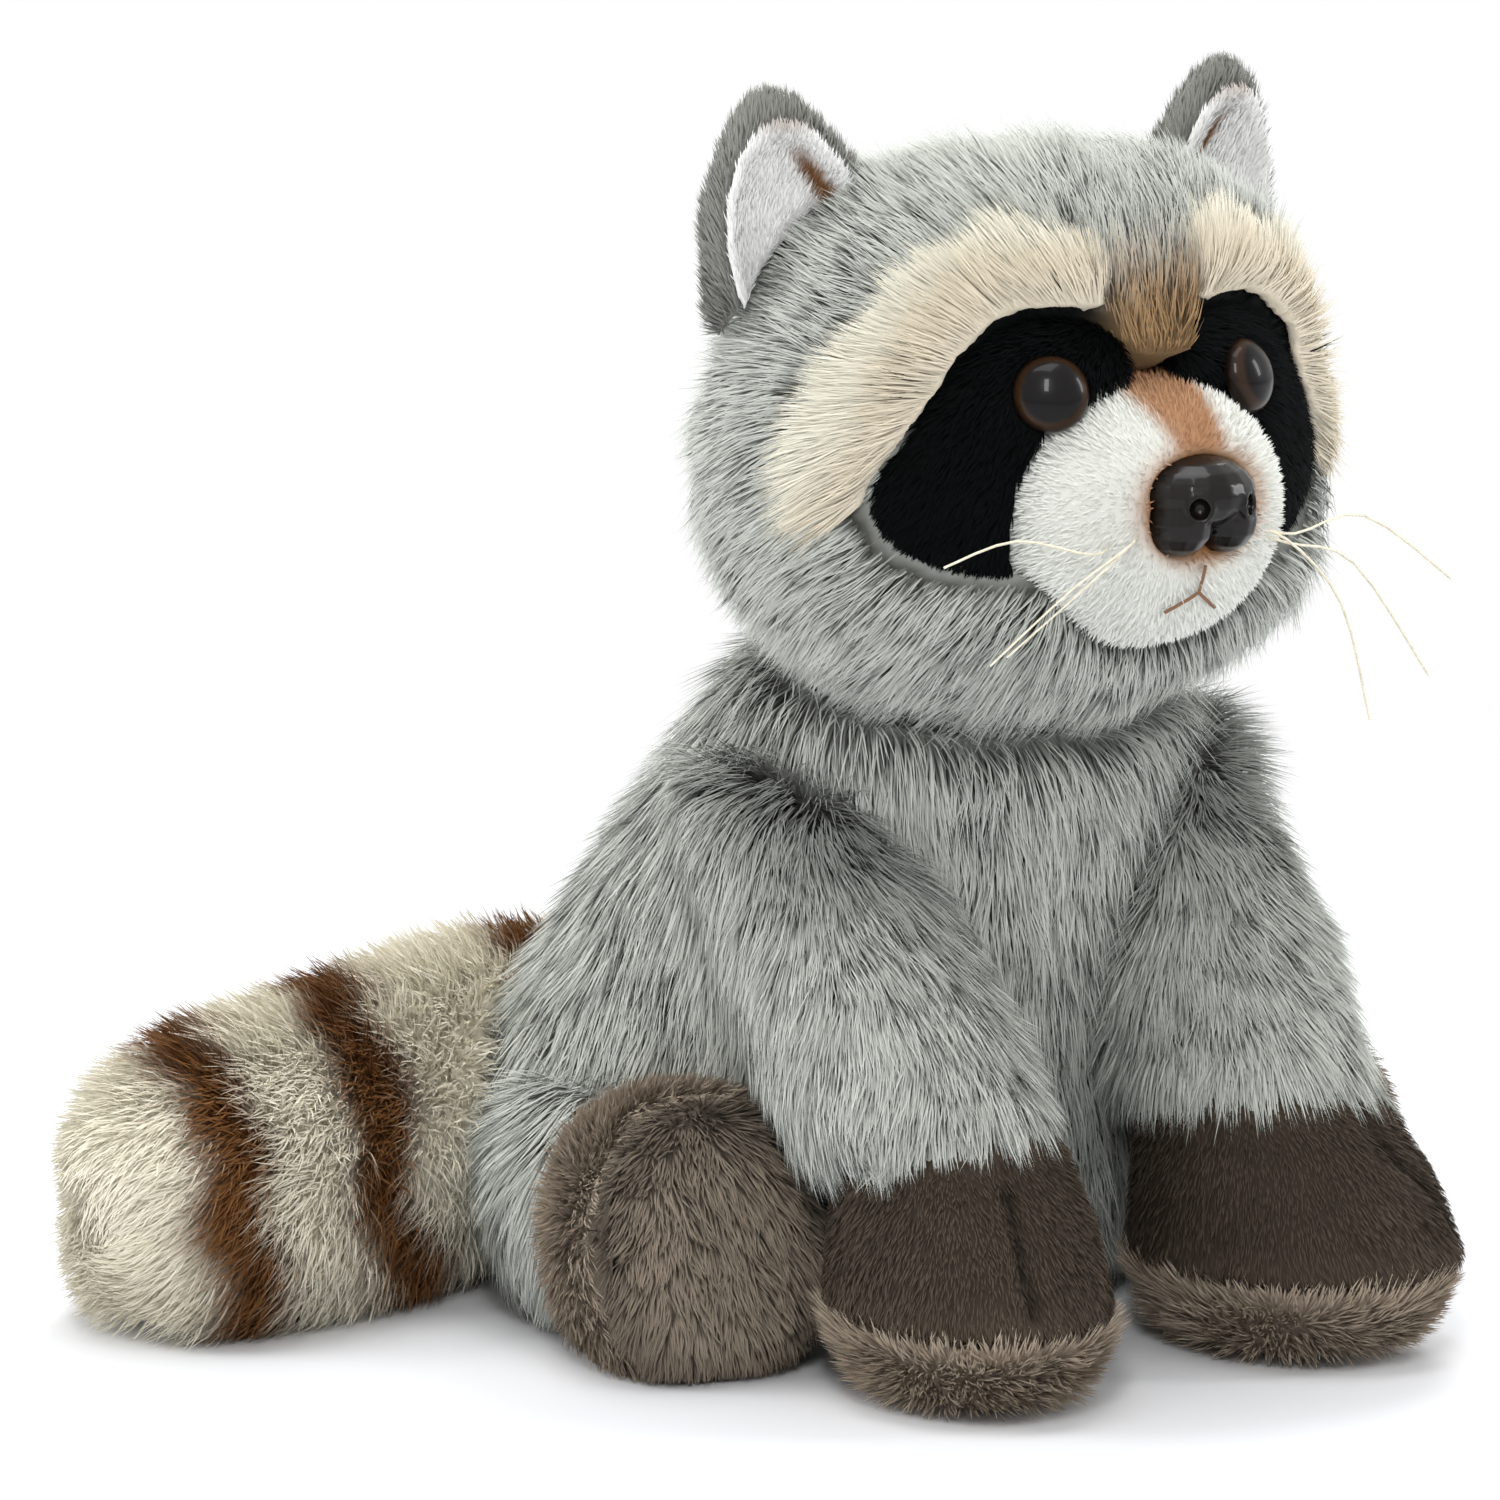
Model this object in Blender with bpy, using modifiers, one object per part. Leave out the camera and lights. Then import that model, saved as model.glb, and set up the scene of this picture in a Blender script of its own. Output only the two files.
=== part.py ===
"""Plush raccoon, sitting on its rump with its tail laid round to its right.

Metres, +Z up. The raccoon faces -Y and its left side is +X. The origin is the centre of the flat
base of its body, on the ground. Each stuffed piece is one solid of skin and filling, and pieces
that are sewn together keep a small gap. Sizes include the pile.
"""
import math

import bmesh
import bpy
from mathutils import Matrix, Vector
from mathutils.bvhtree import BVHTree

# Clearances
GAP = 0.0003
PANEL_SKIN = 0.003
MASK_SINK = 0.010

# Head, about its own centre
HEAD_WIDTH = 0.130
HEAD_DEPTH = 0.104
HEAD_HEIGHT = 0.108
HEAD_Y = -0.063
HEAD_Z = 0.1710

# Muzzle, standing on the front of the head
MUZZLE_WIDTH = 0.058
MUZZLE_HEIGHT = 0.053
MUZZLE_PROUD = 0.0035
MUZZLE_FORWARD = HEAD_DEPTH / 2 + MUZZLE_PROUD
MUZZLE_LENGTH = 0.040
MUZZLE_DROP = 0.0095

# Nose, with a shank and a lock washer inside the muzzle
NOSE_WIDTH = 0.0222
NOSE_HEIGHT = 0.0185
NOSE_DEPTH = 0.011
NOSE_BACK = 0.001
NOSE_RAISE = 0.002
NOSTRIL_RADIUS = 0.0023
NOSTRIL_RIM = 0.0007
NOSE_SHANK_LENGTH = 0.011
NOSE_WASHER_DEPTH = 0.006
NOSE_WASHER_RADIUS = 0.0080

# Eyes, with a shank and a lock washer inside the head
EYE_RADIUS = 0.007
EYE_BULGE = 0.0048
EYE_SPREAD = 30.0
EYE_LIFT = 16.0
EYE_SHANK_LENGTH = 0.014
EYE_WASHER_RADIUS = 0.0080
EYE_WASHER_DEPTH = 0.008
SHANK_RADIUS = 0.0020
WASHER_THICKNESS = 0.0016

# Ears
EAR_WIDTH = 0.035
EAR_HEIGHT = 0.052
EAR_THICKNESS = 0.015
EAR_SPREAD = 51.0
EAR_TURN = 14.0
EAR_LEAN = 11.0
EAR_BACK = 0.010
EAR_SINK = 0.0253
EAR_CUP = 0.011
EAR_RIM = 0.0035
EAR_LINING = 0.0024

# Whiskers and mouth
WHISKER_RADIUS = 0.00025
WHISKER_SEAT = 0.004
THREAD_RADIUS = 0.0004
MOUTH_DROP = 0.005
MOUTH_WIDTH = 0.011
MOUTH_BELOW_NOSE = 0.0015
MOUTH_SAG = 0.0035

# Body
BODY_WIDTH = 0.136
BODY_DEPTH = 0.120
NECK_SINK = 0.018
NECK_WIDTH = 0.086
NECK_BACK = 0.020

# Front legs, from the shoulder down to the wrist
LEG_WIDTH = 0.054
LEG_DEPTH = 0.064
SHOULDER_X = 0.046
SHOULDER_Y = -0.042
SHOULDER_Z = 0.112
WRIST_X = 0.0365
WRIST_Y = -0.083
WRIST_Z = 0.044

# Front paws
PAW_WIDTH = 0.051
PAW_LENGTH = 0.067
PAW_HEIGHT = 0.054
PAW_FORWARD = 0.014
PAW_SPLAY = 14.0
SOLE_HEIGHT = 0.016

# Hind legs and feet
HIP_INSET = 0.025
HIP_X = BODY_WIDTH / 2 - HIP_INSET
HIP_Y = 0.000
THIGH_WIDTH = 0.057
HIP_LIFT = 0.002
FOOT_WIDTH = 0.055
FOOT_HEIGHT = 0.056
FOOT_LENGTH = 0.044
FOOT_OUTSET = 0.0005
FOOT_X = BODY_WIDTH / 2 + FOOT_OUTSET
FOOT_Y = -0.066
FOOT_SPLAY = 9.0
FOOT_TILT = 8.0
FOOT_SQUASH = 0.0015
FOOT_SOLE = 0.009

# Tail, from the rump round to the raccoon's right
TAIL_THICKNESS = 0.064
TAIL_LENGTH = 0.156
TAIL_ROOT_Y = 0.056
TAIL_ROOT_Z = 0.038
TAIL_SQUASH = 0.006

COLOURS = {
    "body": (0.50, 0.52, 0.51),
    "head": (0.55, 0.57, 0.56),
    "muzzle": (0.86, 0.87, 0.85),
    "nose": (0.03, 0.022, 0.02),
    "eye": (0.05, 0.025, 0.012),
    "washer": (0.80, 0.80, 0.78),
    "mask": (0.008, 0.010, 0.013),
    "brow": (0.74, 0.67, 0.53),
    "ear_back": (0.13, 0.13, 0.125),
    "ear_lining": (0.80, 0.81, 0.80),
    "leg": (0.50, 0.52, 0.51),
    "paw": (0.12, 0.10, 0.085),
    "sole": (0.33, 0.27, 0.22),
    "tail": (0.78, 0.73, 0.58),
    "whisker": (0.85, 0.80, 0.68),
    "thread": (0.25, 0.13, 0.07),
}
GLOSSY = ("nose", "eye", "whisker")

SIDES = {"left": 1, "right": -1}


def start_clean():
    """Remove what the scene holds and make one collection for the toy and one for its cutters."""
    for obj in list(bpy.data.objects):
        bpy.data.objects.remove(obj)
    folders = []
    for name in ("plush_raccoon", "cutters"):
        folder = bpy.data.collections.new(name)
        bpy.context.scene.collection.children.link(folder)
        folders.append(folder)
    return folders


PIECES, CUTTERS = start_clean()


def material(name):
    """The material of a kind of piece, made once."""
    found = bpy.data.materials.get(name)
    if found:
        return found
    made = bpy.data.materials.new(name)
    made.use_nodes = True
    shader = made.node_tree.nodes["Principled BSDF"]
    shader.inputs["Base Color"].default_value = (*COLOURS[name], 1.0)
    shader.inputs["Roughness"].default_value = 0.25 if name in GLOSSY else 0.9
    shader.inputs["Metallic"].default_value = 0.0
    return made


def hide(obj):
    """Mark an object as a cutter."""
    obj.hide_render = True
    obj.display_type = "WIRE"
    return obj


def add_mesh(name, mesh_builder, folder):
    """An object from a bmesh, shaded smooth with its normals outward."""
    bmesh.ops.recalc_face_normals(mesh_builder, faces=mesh_builder.faces)
    mesh = bpy.data.meshes.new(name)
    mesh_builder.to_mesh(mesh)
    mesh_builder.free()
    mesh.shade_smooth()
    obj = bpy.data.objects.new(name, mesh)
    folder.objects.link(obj)
    return obj


def form(name, mesh_builder):
    """A hidden form, which pieces are copied from and cut with."""
    return hide(add_mesh(name, mesh_builder, CUTTERS))


def subdivide(obj, levels):
    """Round a coarse cage into fixed triangles, so that a swollen copy keeps the same facets."""
    rounding = obj.modifiers.new("rounding", "SUBSURF")
    rounding.levels = levels
    rounding.render_levels = levels
    facets = obj.modifiers.new("facets", "TRIANGULATE")
    facets.quad_method = "FIXED"
    return obj


def piece(source, name, kind):
    """A visible piece that starts as a copy of a form."""
    made = source.copy()
    made.data = source.data.copy()
    made.name = name
    made.data.materials.clear()
    made.data.materials.append(material(kind))
    made.hide_render = False
    made.display_type = "TEXTURED"
    PIECES.objects.link(made)
    return made


def grown(source, amount):
    """A hidden copy of a form, swollen (or shrunk) by an amount along its normals."""
    name = f"{source.name}_by_{amount * 1e6:.0f}"
    found = bpy.data.objects.get(name)
    if found:
        return found
    made = source.copy()
    made.name = name
    CUTTERS.objects.link(made)
    swell = made.modifiers.new("swell", "DISPLACE")
    swell.strength = amount
    swell.mid_level = 0.0
    return made


def boolean(obj, operation, other):
    """Cut, join or intersect an object with another."""
    step = obj.modifiers.new(f"{operation.lower()} {other.name}", "BOOLEAN")
    step.operation = operation
    step.object = other


def keep_clear(obj, *neighbours):
    """Cut a piece back by the gap round each neighbour."""
    for neighbour in neighbours:
        boolean(obj, "DIFFERENCE", grown(neighbour, GAP))


def cage_form(name, rings, sides=12, levels=1):
    """A closed soft form through rings of a coarse cage.

    Each ring is a centre and two half axes. Subdivision pulls a ring inward by the factor below,
    so the cage is made larger by as much.
    """
    pull = (2 + math.cos(2 * math.pi / sides)) / 3
    builder = bmesh.new()
    loops = []
    for centre, across, along in rings:
        loop = []
        for step in range(sides):
            angle = 2 * math.pi * (step + 0.5) / sides
            offset = (across * math.cos(angle) + along * math.sin(angle)) / pull
            loop.append(builder.verts.new(centre + offset))
        loops.append(loop)
    for low, high in zip(loops, loops[1:]):
        for step in range(sides):
            follow = (step + 1) % sides
            builder.faces.new((low[step], low[follow], high[follow], high[step]))
    builder.faces.new(loops[0])
    builder.faces.new(loops[-1])
    return subdivide(form(name, builder), levels)


def level_ring(x, y, z, half_width, half_depth):
    """A ring that lies level, for a form that is stacked upward."""
    return Vector((x, y, z)), Vector((half_width, 0, 0)), Vector((0, half_depth, 0))


def rings_along(points, radii, heights=None):
    """Upright rings square to a path of points, for a form that lies along it."""
    rings = []
    for index, point in enumerate(points):
        before = points[max(index - 1, 0)]
        after = points[min(index + 1, len(points) - 1)]
        forward = (after - before).normalized()
        across = forward.cross(Vector((0, 0, 1))).normalized()
        upward = across.cross(forward).normalized()
        height = heights[index] if heights else radii[index]
        rings.append((point, across * radii[index], upward * height))
    return rings


def surface_point(target, start, direction):
    """Where a ray from inside a form leaves it, and the form's normal there."""
    graph = bpy.context.evaluated_depsgraph_get()
    tree = BVHTree.FromObject(target, graph)
    reach = 1.0
    outside = start + direction.normalized() * reach
    point, normal, _index, _distance = tree.ray_cast(outside, -direction.normalized())
    return point, normal


def ground():
    """A block below the ground, which flattens what rests on it."""
    builder = bmesh.new()
    depth = 0.1
    bmesh.ops.create_cube(builder, size=1.0)
    bmesh.ops.scale(builder, vec=(1.0, 1.0, depth), verts=builder.verts)
    bmesh.ops.translate(builder, vec=(0, 0, -depth / 2), verts=builder.verts)
    return form("ground", builder)


GROUND = ground()


def rest_on_ground(*objects):
    """Flatten pieces where they meet the ground."""
    for obj in objects:
        boolean(obj, "DIFFERENCE", GROUND)


def half_space(name, point, normal, size=0.3):
    """A block whose face passes through a point, square to a normal, on the normal's side."""
    builder = bmesh.new()
    bmesh.ops.create_cube(builder, size=size)
    bmesh.ops.translate(builder, vec=(0, 0, size / 2), verts=builder.verts)
    made = form(name, builder)
    made.matrix_world = Matrix.Translation(point) @ normal.to_track_quat("Z", "Y").to_matrix().to_4x4()
    return made


def split(source, front, back, point, normal):
    """Two pieces of one form, sewn at a plane: the front on the normal's side, and the rest."""
    front_name, front_kind = front
    back_name, back_kind = back
    before = piece(source, front_name, front_kind)
    behind = piece(source, back_name, back_kind)
    boolean(before, "INTERSECT", half_space(f"{front_name}_side", point, normal))
    boolean(behind, "DIFFERENCE", half_space(f"{back_name}_side", point - normal * GAP, normal))
    return before, behind


def turned(name, profile, steps=16):
    """A closed turned form. The profile runs at +X down its outer side, in the X-Z plane."""
    builder = bmesh.new()
    points = [builder.verts.new((radius, 0, height)) for radius, height in profile]
    for upper, lower in zip(points, points[1:]):
        builder.edges.new((upper, lower))
    if profile[0][0] > 0 and profile[-1][0] > 0:
        builder.edges.new((points[-1], points[0]))
    made = form(name, builder)
    turn = made.modifiers.new("turn", "SCREW")
    turn.angle = 2 * math.pi
    turn.steps = steps
    turn.render_steps = steps
    turn.use_merge_vertices = True
    turn.merge_threshold = 0.00001
    return made


def place(obj, point, direction):
    """Stand an object at a point with its own +Z along a direction."""
    turn = direction.to_track_quat("Z", "Y").to_matrix().to_4x4()
    obj.matrix_world = Matrix.Translation(point) @ turn
    return obj


def curve_mesh(name, points, radius, resolution=0):
    """A thin tube through points, as a closed hidden mesh."""
    data = bpy.data.curves.new(name, "CURVE")
    data.dimensions = "3D"
    data.bevel_depth = radius
    data.bevel_resolution = resolution
    data.use_fill_caps = True
    spline = data.splines.new("POLY")
    spline.points.add(len(points) - 1)
    for slot, point in zip(spline.points, points):
        slot.co = (*point, 1.0)
    tube = bpy.data.objects.new(name, data)
    CUTTERS.objects.link(tube)
    graph = bpy.context.evaluated_depsgraph_get()
    mesh = bpy.data.meshes.new_from_object(tube.evaluated_get(graph))
    bpy.data.objects.remove(tube)
    builder = bmesh.new()
    builder.from_mesh(mesh)
    bpy.data.meshes.remove(mesh)
    bmesh.ops.remove_doubles(builder, verts=builder.verts, dist=0.000001)
    return form(name, builder)


def smooth_path(points, steps, closed=False):
    """A smooth path through points (Catmull-Rom), with a number of steps between each two."""
    count = len(points)
    path = []
    spans = count if closed else count - 1
    for index in range(spans):
        if closed:
            near = [points[(index + shift) % count] for shift in (-1, 0, 1, 2)]
        else:
            near = [points[min(max(index + shift, 0), count - 1)] for shift in (-1, 0, 1, 2)]
        before, start, end, after = near
        for step in range(steps):
            t = step / steps
            pull_in = (end - before) * t + (2 * before - 5 * start + 4 * end - after) * t**2
            pull_out = (3 * start - before - 3 * end + after) * t**3
            path.append(start + (pull_in + pull_out) / 2)
    if not closed:
        path.append(points[-1])
    return path


def head_form():
    """The head: a broad round form, widest at the cheeks.

    Each ring is a height, a width and a depth as shares of the head's own half sizes.
    """
    profile = (
        (-1.00, 0.34, 0.34),
        (-0.78, 0.74, 0.72),
        (-0.40, 1.01, 0.99),
        (0.02, 1.03, 1.02),
        (0.42, 0.95, 0.98),
        (0.80, 0.72, 0.74),
        (1.01, 0.33, 0.33),
    )
    rings = []
    for height, width, depth in profile:
        z = HEAD_Z + height * HEAD_HEIGHT / 2
        rings.append(level_ring(0, HEAD_Y, z, width * HEAD_WIDTH / 2, depth * HEAD_DEPTH / 2))
    return cage_form("head_form", rings, sides=16)


def body_form():
    """The body: a pear that leans forward into the neck.

    Each ring is a height as a share of the way up to the neck, then its width, depth and
    centre as shares of the body's own sizes.
    """
    neck_z = HEAD_Z - HEAD_HEIGHT / 2 + NECK_SINK
    neck_share = NECK_WIDTH / BODY_WIDTH
    neck_y = HEAD_Y + NECK_BACK
    profile = (
        (-0.06, 0.74, 0.74, 0.0),
        (0.09, 0.98, 0.98, 0.0),
        (0.29, 1.02, 1.02, 0.0),
        (0.50, 0.93, 0.97, 0.18),
        (0.70, 0.78, 0.84, 0.56),
        (0.88, 0.68, 0.68, 0.86),
        (1.02, neck_share * 0.92, 0.56, 1.0),
    )
    rings = []
    for height, width, depth, lean in profile:
        half_width = width * BODY_WIDTH / 2
        half_depth = depth * BODY_DEPTH / 2
        rings.append(level_ring(0, lean * neck_y, height * neck_z, half_width, half_depth))
    return cage_form("body_form", rings, sides=16)


def muzzle_form():
    """The muzzle: an egg sewn into the front of the head, with its root inside it."""
    centre_z = HEAD_Z - MUZZLE_DROP
    root = HEAD_Y - MUZZLE_FORWARD + MUZZLE_LENGTH
    profile = (
        (0.00, 0.86, 0.86, 0.000),
        (0.40, 1.02, 1.02, 0.000),
        (0.74, 0.94, 0.90, -0.001),
        (0.95, 0.62, 0.58, 0.001),
        (1.02, 0.28, 0.26, 0.002),
    )
    rings = []
    for share, width, height, lift in profile:
        centre = Vector((0, root - share * MUZZLE_LENGTH, centre_z + lift))
        across = Vector((width * MUZZLE_WIDTH / 2, 0, 0))
        upward = Vector((0, 0, height * MUZZLE_HEIGHT / 2))
        rings.append((centre, across, upward))
    return cage_form("muzzle_form", rings)


def panel_form(name, outline, side):
    """A wedge that cuts a panel out of the head.

    The outline is a list of directions from the head's centre, as degrees sideways and degrees
    up. It lies on a plane in front of the head and narrows toward the centre.
    """
    plane = 0.10
    tip_share = 0.05
    centre = Vector((0, HEAD_Y, HEAD_Z))
    corners = []
    for sideways, upward in outline:
        turn = math.radians(sideways)
        rise = math.tan(math.radians(upward)) / math.cos(turn)
        corners.append(Vector((side * math.tan(turn), -1.0, rise)) * plane)
    loop = smooth_path(corners, 2, closed=True)
    builder = bmesh.new()
    near = [builder.verts.new(centre + corner * tip_share) for corner in loop]
    far = [builder.verts.new(centre + corner) for corner in loop]
    builder.faces.new(near)
    builder.faces.new(far)
    for step in range(len(loop)):
        follow = (step + 1) % len(loop)
        builder.faces.new((near[step], near[follow], far[follow], far[step]))
    return form(name, builder)


MASK_OUTLINE = (
    (8.5, 30.0),
    (27.0, 34.0),
    (43.0, 30.0),
    (53.0, 17.0),
    (60.5, 4.0),
    (67.0, -6.0),
    (64.0, -15.5),
    (53.0, -22.0),
    (35.0, -26.0),
    (18.0, -20.0),
    (10.0, 5.0),
)
BROW_OUTLINE = (
    (15.0, 34.0),
    (17.5, 43.0),
    (30.0, 47.0),
    (45.0, 45.0),
    (61.0, 32.0),
    (71.5, 19.0),
    (79.0, 5.0),
    (77.0, -5.0),
    (70.0, -9.0),
    (58.0, 2.0),
    (47.0, 19.0),
    (32.0, 28.0),
)
MUZZLE_OPENING = (
    (0.0, 23.0),
    (14.0, 20.0),
    (25.0, 8.0),
    (29.0, -8.0),
    (24.0, -24.0),
    (12.0, -31.0),
    (0.0, -33.0),
)


def face_panel(head, wedge, name, kind, sink):
    """A panel of the head's skin inside a wedge, sunk below the pile round it."""
    outer = grown(head, -sink) if sink else head
    panel = piece(outer, name, kind)
    boolean(panel, "INTERSECT", wedge)
    boolean(panel, "DIFFERENCE", grown(head, -sink - PANEL_SKIN))
    return panel


def recess(head_piece, head, wedge, sink):
    """The recess in the head that a panel lies in, wider and deeper than it by the gap."""
    cutter = grown(wedge, GAP).copy()
    cutter.name = f"{wedge.name}_recess"
    CUTTERS.objects.link(cutter)
    boolean(cutter, "DIFFERENCE", grown(head, -sink - PANEL_SKIN - GAP))
    boolean(head_piece, "DIFFERENCE", cutter)


def make_face_panels(head, head_piece, muzzle_shape):
    """The mask and the brow of each side."""
    masks = {}
    for side_name, side in SIDES.items():
        mask_wedge = panel_form(f"mask_wedge_{side_name}", MASK_OUTLINE, side)
        brow_wedge = panel_form(f"brow_wedge_{side_name}", BROW_OUTLINE, side)
        mask = face_panel(head, mask_wedge, f"mask_{side_name}", "mask", MASK_SINK)
        brow = face_panel(head, brow_wedge, f"brow_{side_name}", "brow", 0)
        keep_clear(mask, muzzle_shape)
        keep_clear(brow, mask_wedge)
        recess(head_piece, head, mask_wedge, MASK_SINK)
        recess(head_piece, head, brow_wedge, 0)
        masks[side_name] = mask
    mirrored = [(-sideways, upward) for sideways, upward in reversed(MUZZLE_OPENING[1:-1])]
    opening = panel_form("muzzle_opening", (*MUZZLE_OPENING, *mirrored), SIDES["left"])
    recess(head_piece, head, opening, MASK_SINK - PANEL_SKIN / 2)
    return masks


def washer_form(name, radius):
    """A flat lock washer round a shank, centred on its own origin."""
    bore = SHANK_RADIUS + GAP
    half = WASHER_THICKNESS / 2
    profile = ((bore, half), (radius, half), (radius, -half), (bore, -half))
    return turned(name, profile)


def eye_form(name):
    """An eye: a domed cap on a shank. Its own +Z looks outward, with its rim at zero."""
    dome = []
    steps = 4
    for step in range(steps):
        angle = math.radians(90 * step / steps)
        dome.append((EYE_RADIUS * math.sin(angle), EYE_BULGE * math.cos(angle)))
    rim = 0.0012
    rest = (
        (EYE_RADIUS, 0.0),
        (EYE_RADIUS - rim / 2, -rim),
        (SHANK_RADIUS, -rim),
        (SHANK_RADIUS, -EYE_SHANK_LENGTH),
        (0.0, -EYE_SHANK_LENGTH),
    )
    return turned(name, (*dome, *rest))


def make_eyes(head, head_piece, muzzle, masks):
    """The eyes, each with its washer on the shank inside the head."""
    centre = Vector((0, HEAD_Y, HEAD_Z))
    for side_name, side in SIDES.items():
        turn = math.radians(EYE_SPREAD)
        lift = math.radians(EYE_LIFT)
        flat = math.cos(lift)
        direction = Vector((side * math.sin(turn) * flat, -math.cos(turn) * flat, math.sin(lift)))
        point, _normal = surface_point(grown(head, -MASK_SINK), centre, direction)
        eye = eye_form(f"eye_form_{side_name}")
        washer = washer_form(f"eye_washer_form_{side_name}", EYE_WASHER_RADIUS)
        place(eye, point, direction)
        place(washer, point - direction * EYE_WASHER_DEPTH, direction)
        piece(eye, f"eye_{side_name}", "eye")
        piece(washer, f"eye_washer_{side_name}", "washer")
        keep_clear(masks[side_name], eye)
        keep_clear(head_piece, eye, washer)
        keep_clear(muzzle, eye, washer)


def ball(name, centre, radii, segments=18, rings=10):
    """An ellipsoid form."""
    builder = bmesh.new()
    bmesh.ops.create_uvsphere(builder, u_segments=segments, v_segments=rings, radius=1.0)
    bmesh.ops.scale(builder, vec=radii, verts=builder.verts)
    bmesh.ops.translate(builder, vec=centre, verts=builder.verts)
    return form(name, builder)


def nostril_rim(name, centre, direction):
    """A raised ring round a nostril."""
    profile = []
    steps = 6
    for step in range(steps):
        angle = -2 * math.pi * step / steps
        radius = NOSTRIL_RADIUS + NOSTRIL_RIM * math.cos(angle)
        profile.append((radius, NOSTRIL_RIM * math.sin(angle)))
    return place(turned(name, profile, steps=12), centre, direction)


def nose_form():
    """The moulded nose, about its own centre: a wide cap over two lobes with a cleft between.

    It looks along -Y. The lobes and the cap run into one body with the shank, and each
    nostril is a pit inside a raised ring.
    """
    half_width = NOSE_WIDTH / 2
    cap_height = NOSE_HEIGHT * 0.37
    cap_z = NOSE_HEIGHT / 2 - cap_height
    nose = ball("nose_form", (0, 0, cap_z), (half_width, NOSE_DEPTH, cap_height))
    lobe_radius = NOSE_WIDTH * 0.27
    lobe_height = NOSE_HEIGHT * 0.36
    lobe_z = lobe_height - NOSE_HEIGHT / 2
    lobe_depth = NOSE_DEPTH * 0.86
    for side_name, side in SIDES.items():
        lobe_x = side * lobe_radius * 0.84
        lobe_radii = (lobe_radius, lobe_depth, lobe_height)
        lobe = ball(f"nose_lobe_{side_name}", (lobe_x, 0, lobe_z), lobe_radii, segments=14, rings=8)
        boolean(nose, "UNION", lobe)
    for side_name, side in SIDES.items():
        direction = Vector((side * 0.52, -0.84, 0.05)).normalized()
        start = Vector((0, 0, cap_z - cap_height * 0.35))
        seat, _normal = surface_point(nose, start, direction)
        rim = nostril_rim(f"nostril_rim_{side_name}", seat, direction)
        pit_radii = (NOSTRIL_RADIUS - NOSTRIL_RIM / 2,) * 3
        pit = ball(f"nostril_pit_{side_name}", seat, pit_radii, segments=10, rings=6)
        boolean(nose, "UNION", rim)
        boolean(nose, "DIFFERENCE", pit)
    forward = Vector((0, -1, 0))
    back = half_space("nose_back", -forward * NOSE_BACK, -forward)
    boolean(nose, "DIFFERENCE", back)
    root = NOSE_DEPTH / 3
    profile = ((0, root), (SHANK_RADIUS, root), (SHANK_RADIUS, -NOSE_SHANK_LENGTH), (0, -NOSE_SHANK_LENGTH))
    shank = place(turned("nose_shank", profile), Vector((0, 0, 0)), forward)
    boolean(nose, "UNION", shank)
    return nose


def make_nose(muzzle_shape, muzzle):
    """The nose and its washer, and their seats in the muzzle."""
    centre = Vector((0, HEAD_Y, HEAD_Z - MUZZLE_DROP + NOSE_RAISE))
    forward = Vector((0, -1, 0))
    front, _normal = surface_point(muzzle_shape, centre, forward)
    sink = 0.35
    seat = front - forward * NOSE_DEPTH * sink
    nose_shape = frozen("nose_solid", nose_form())
    nose_shape.location = seat
    washer = washer_form("nose_washer_form", NOSE_WASHER_RADIUS)
    place(washer, seat - forward * NOSE_WASHER_DEPTH, forward)
    piece(nose_shape, "nose", "nose")
    piece(washer, "nose_washer", "washer")
    keep_clear(muzzle, nose_shape, washer)
    return seat


def frozen(name, source):
    """A hidden form with a source's modifiers applied, in world space."""
    graph = bpy.context.evaluated_depsgraph_get()
    mesh = bpy.data.meshes.new_from_object(source.evaluated_get(graph))
    mesh.transform(source.matrix_world)
    builder = bmesh.new()
    builder.from_mesh(mesh)
    bpy.data.meshes.remove(mesh)
    return form(name, builder)


def ear_forms(side_name, side, head):
    """An ear's leaf and the bowl that hollows it, standing on the head and turned outward."""
    width = EAR_WIDTH / 2
    thick = EAR_THICKNESS / 2
    profile = (
        (0.00, 0.84, 0.90, 0.0),
        (0.28, 1.04, 1.04, 0.0),
        (0.58, 0.96, 0.96, 0.0),
        (0.84, 0.62, 0.74, 0.0),
        (1.01, 0.22, 0.40, 0.0),
    )
    rings = []
    for share, across, deep, shift in profile:
        z = share * EAR_HEIGHT
        rings.append(level_ring(shift, 0, z, across * width, deep * thick))
    leaf = cage_form(f"ear_form_{side_name}", rings)
    bowl_radii = (width - EAR_RIM, EAR_CUP, EAR_HEIGHT / 2 - EAR_RIM)
    bowl_at = (0, -thick - EAR_CUP * 0.1, EAR_HEIGHT / 2)
    bowl = ball(f"ear_bowl_{side_name}", bowl_at, bowl_radii)
    inner_at = (0, bowl_at[1] - EAR_LINING, EAR_HEIGHT / 2)
    inner = ball(f"ear_hollow_{side_name}", inner_at, bowl_radii)
    centre = Vector((0, HEAD_Y + EAR_BACK, HEAD_Z))
    tilt = math.radians(EAR_SPREAD)
    direction = Vector((side * math.sin(tilt), 0.0, math.cos(tilt)))
    point, _normal = surface_point(head, centre, direction)
    lean = Matrix.Rotation(math.radians(side * EAR_LEAN), 4, "Y")
    turn = Matrix.Rotation(math.radians(side * EAR_TURN), 4, "Z")
    stand = Matrix.Translation(point) @ lean @ turn @ Matrix.Translation((0, 0, -EAR_SINK))
    for shape in (leaf, bowl, inner):
        shape.matrix_world = stand
    return leaf, bowl, inner


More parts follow.
